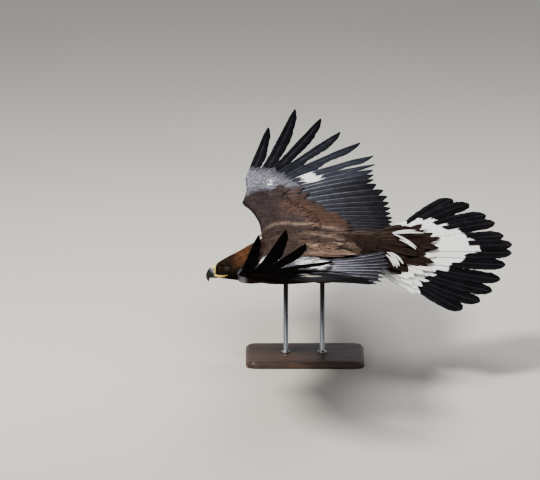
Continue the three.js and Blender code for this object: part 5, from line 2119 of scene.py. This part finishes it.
@dataclass
class Studio:
    """Pale floor, soft lights and the camera."""

    target: tuple = (-0.10045, 0.0, 0.3521)
    elevation: float = math.radians(13.0)
    distance: float = 20.0
    lens: float = 464.5

    def floor(self) -> None:
        """A pale matt floor, wide enough to fill the view."""
        points = np.array([(-30, -30, 0), (30, -30, 0), (30, 60, 0), (-30, 60, 0)]) / MM
        made = fresh_object("studio_floor", points, [np.array([[0, 1, 2, 3]])])
        n = Nodes("studio_floor")
        n.surface(Base_Color=rgba(linear(206, 201, 192)), Roughness=0.9)
        made.data.materials.append(n.material)

    def light(self, name: str, place: tuple, aim: tuple, size: float, power: float, colour: tuple) -> None:
        """Adds a square soft light.

        Args:
            name: of the light.
            place: where it is, in metres.
            aim: the point that it looks at.
            size: of its side, in metres.
            power: in watts.
            colour: as linear light.
        """
        data = bpy.data.lights.new(name, "AREA")
        data.shape = "SQUARE"
        data.size = size
        data.energy = power
        data.color = colour
        made = bpy.data.objects.new(name, data)
        bpy.context.scene.collection.objects.link(made)
        made.location = place
        made.rotation_euler = (Vector(aim) - Vector(place)).to_track_quat("-Z", "Y").to_euler()

    def camera(self) -> None:
        """The camera at the photograph's angle and framing."""
        data = bpy.data.cameras.new("camera")
        data.lens = self.lens
        data.sensor_width = 36.0
        data.clip_end = 120.0
        made = bpy.data.objects.new("camera", data)
        bpy.context.scene.collection.objects.link(made)
        aim = Vector(self.target)
        back = Vector((0, -math.cos(self.elevation), math.sin(self.elevation)))
        made.location = aim + back * self.distance
        made.rotation_euler = (-back).to_track_quat("-Z", "Y").to_euler()
        bpy.context.scene.camera = made

    def build(self) -> None:
        """Sets up floor, lights, world and camera."""
        self.floor()
        aim = (0.0, 0.0, 0.33)
        self.light("key", (-1.6, -0.6, 3.4), aim, 1.1, 190.0, (1.0, 0.97, 0.92))
        self.light("top", (0.6, 1.6, 3.2), aim, 2.2, 90.0, (0.94, 0.97, 1.0))
        self.light("fill", (-1.5, -4.0, 1.6), aim, 3.0, 40.0, (1.0, 0.98, 0.96))
        world = bpy.data.worlds.new("studio")
        bpy.context.scene.world = world
        world.use_nodes = True
        shade = world.node_tree.nodes["Background"]
        shade.inputs["Color"].default_value = (0.86, 0.88, 0.92, 1)
        shade.inputs["Strength"].default_value = 0.4
        self.camera()


def leg_coat(leg: LegForm, coat: Coat) -> Batch:
    """Small dark feathers in rings down a leg, longer where they hide the toes on its outer side.

    Args:
        leg: the leg's form.
        coat: the bird's coat, which gives the variation.

    Returns:
        All of them as one batch.
    """
    rng = coat.rng
    ps, qs = [], []
    for k, p in enumerate(np.arange(6, 160, 6.5)):
        count = max(8, int(2 * math.pi * float(leg.radii(p / leg.length)) / 6.5))
        qs.append((np.arange(count) + 0.5 * (k % 2)) / count * 2 * np.pi + rng.normal(0, 0.05, count))
        ps.append(np.full(count, p) + rng.normal(0, 1.2, count))
    p, q = np.concatenate(ps), np.concatenate(qs)
    colour = mix(PALETTE.belly, PALETTE.rump, 0.5) * (1 + rng.normal(0, 0.12, len(p)))[:, None]
    edge = mix(colour, PALETTE.fold, 0.25)
    outer = smoothstep(np.cos(q) * leg.side, 0, 0.4)
    length = 26 - 8 * smoothstep(p, 60, 160) + 52 * smoothstep(p, 100, 145) * outer
    turn = rng.normal(0, 0.08, len(p))
    seeds = Seeds(p, q, turn, length, 0.26 * length, np.full(len(p), 1.5), colour, edge, np.zeros(len(p)))
    line = leg.placed(leg.line)

    def outward(at: Array) -> Array:
        """The way out from the leg's line."""
        t = np.clip((at[..., 0] - line[0, 0]) / (line[-1, 0] - line[0, 0]), 0, 1)
        return at - catmull(line, t)

    drape = Drape(leg.surface(0.4), lambda a, b: leg.radii(np.clip(a / leg.length, 0, 1)), outward)
    return drape.feathers(seeds, Leaf.ROUND, 0.45, 1.0)


def body_outward(at: Array) -> Array:
    """The way out from the body's middle line."""
    return at - np.stack([at[..., 0], 0 * at[..., 1], SHOULDER_Z + BODY.middle(at[..., 0])], -1)


BODY_REGIONS = (
    ("head_feathers", -math.inf, -190, Leaf.LANCE, "nape_plumage"),
    ("neck_feathers", -190, -120, Leaf.LANCE, "nape_plumage"),
    ("breast_feathers", -120, 60, Leaf.ROUND, "body_plumage"),
    ("rump_feathers", 60, math.inf, Leaf.ROUND, "body_plumage"),
)
HEAD_FEATHER = {"thickness": 0.28, "sink": 0.7}


def build_eagle() -> None:
    """Makes every piece of the bird, its feathers last."""
    rng = np.random.default_rng(SEED)
    coat = Coat(rng)
    wing_coats = tuple(WingCoat(form, rng) for form in WINGS)
    legs = (LegForm(1), LegForm(-1))
    down = PlumageFinish("small_feathers", roughness=0.72, streak=0.34, barbs=0.3).build()
    vanes = PlumageFinish("flight_vanes", roughness=0.5, streak=0.28, barbs=0.25).build()
    horn = SolidFinish("bill_horn", roughness=0.36, mottle=0.08, scale=260, coat=0.08, specular=0.22).build()
    waxy = SolidFinish("waxy_skin", roughness=0.42, mottle=0.1, scale=320).build()
    scaly = SolidFinish("scaly_skin", roughness=0.55, mottle=0.16, scale=420, bump=0.4).build()
    glass = SolidFinish("eye", roughness=0.12, mottle=0.02, scale=300, coat=0.3, bump=0, specular=0.3).build()
    lid = SolidFinish("eyelid_skin", roughness=0.6, mottle=0.15, scale=500).build()

    Flesh(coat, wing_coats, legs).build(down)
    Bill().build(horn, waxy)
    Eyes().build(glass, lid)
    for leg, word in zip(legs, ("right", "left")):
        Foot(leg, word).build(scaly, horn)
        plumage_piece(f"leg_feathers_{word}", leg_coat(leg, coat), down)

    seeds = coat.body()
    drape = Drape(BODY.surface, lambda p, q: np.maximum((BODY.width(p) + BODY.half(p)) / 2, 4), body_outward)
    for name, start, end, leaf, slot in BODY_REGIONS:
        mask = (seeds.p >= start) & (seeds.p < end)
        part = Seeds(*(getattr(seeds, key)[mask] for key in Seeds.__dataclass_fields__))
        fine = HEAD_FEATHER if name == "head_feathers" else {}
        plumage_piece(name, drape.feathers(part, leaf, **fine), down)

    maker = VaneMaker(rng)
    for form, wing_coat in zip(WINGS, wing_coats):
        big = WingFeathers(form, rng, wing_coat.colour, LOOKS[form.name])
        for name, batch in big.make(maker).items():
            made = plumage_piece(f"{name}_{form.name}", batch, vanes)
            if name == "flight_feathers":
                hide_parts(f"wing_{form.name}_arm", f"wing_{form.name}_hand")
        for name, batch in wing_coat.make().items():
            plumage_piece(f"{name}_{form.name}", batch, down)
        plumage_piece(f"scapulars_{form.name}", Scapulars(wing_coat).make(), down)
    for name, batch in TailFeathers(rng).make(maker).items():
        made = plumage_piece(name, batch, vanes)
        if name == "tail_feathers":
            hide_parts("tail")


def main() -> None:
    """Loads the frame and dresses it."""
    logging.basicConfig(level=logging.INFO, format="%(name)s: %(message)s")
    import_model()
    build_eagle()
    Stand().build(wood_finish(), steel_finish())
    Studio().build()


if __name__ == "__main__":
    main()
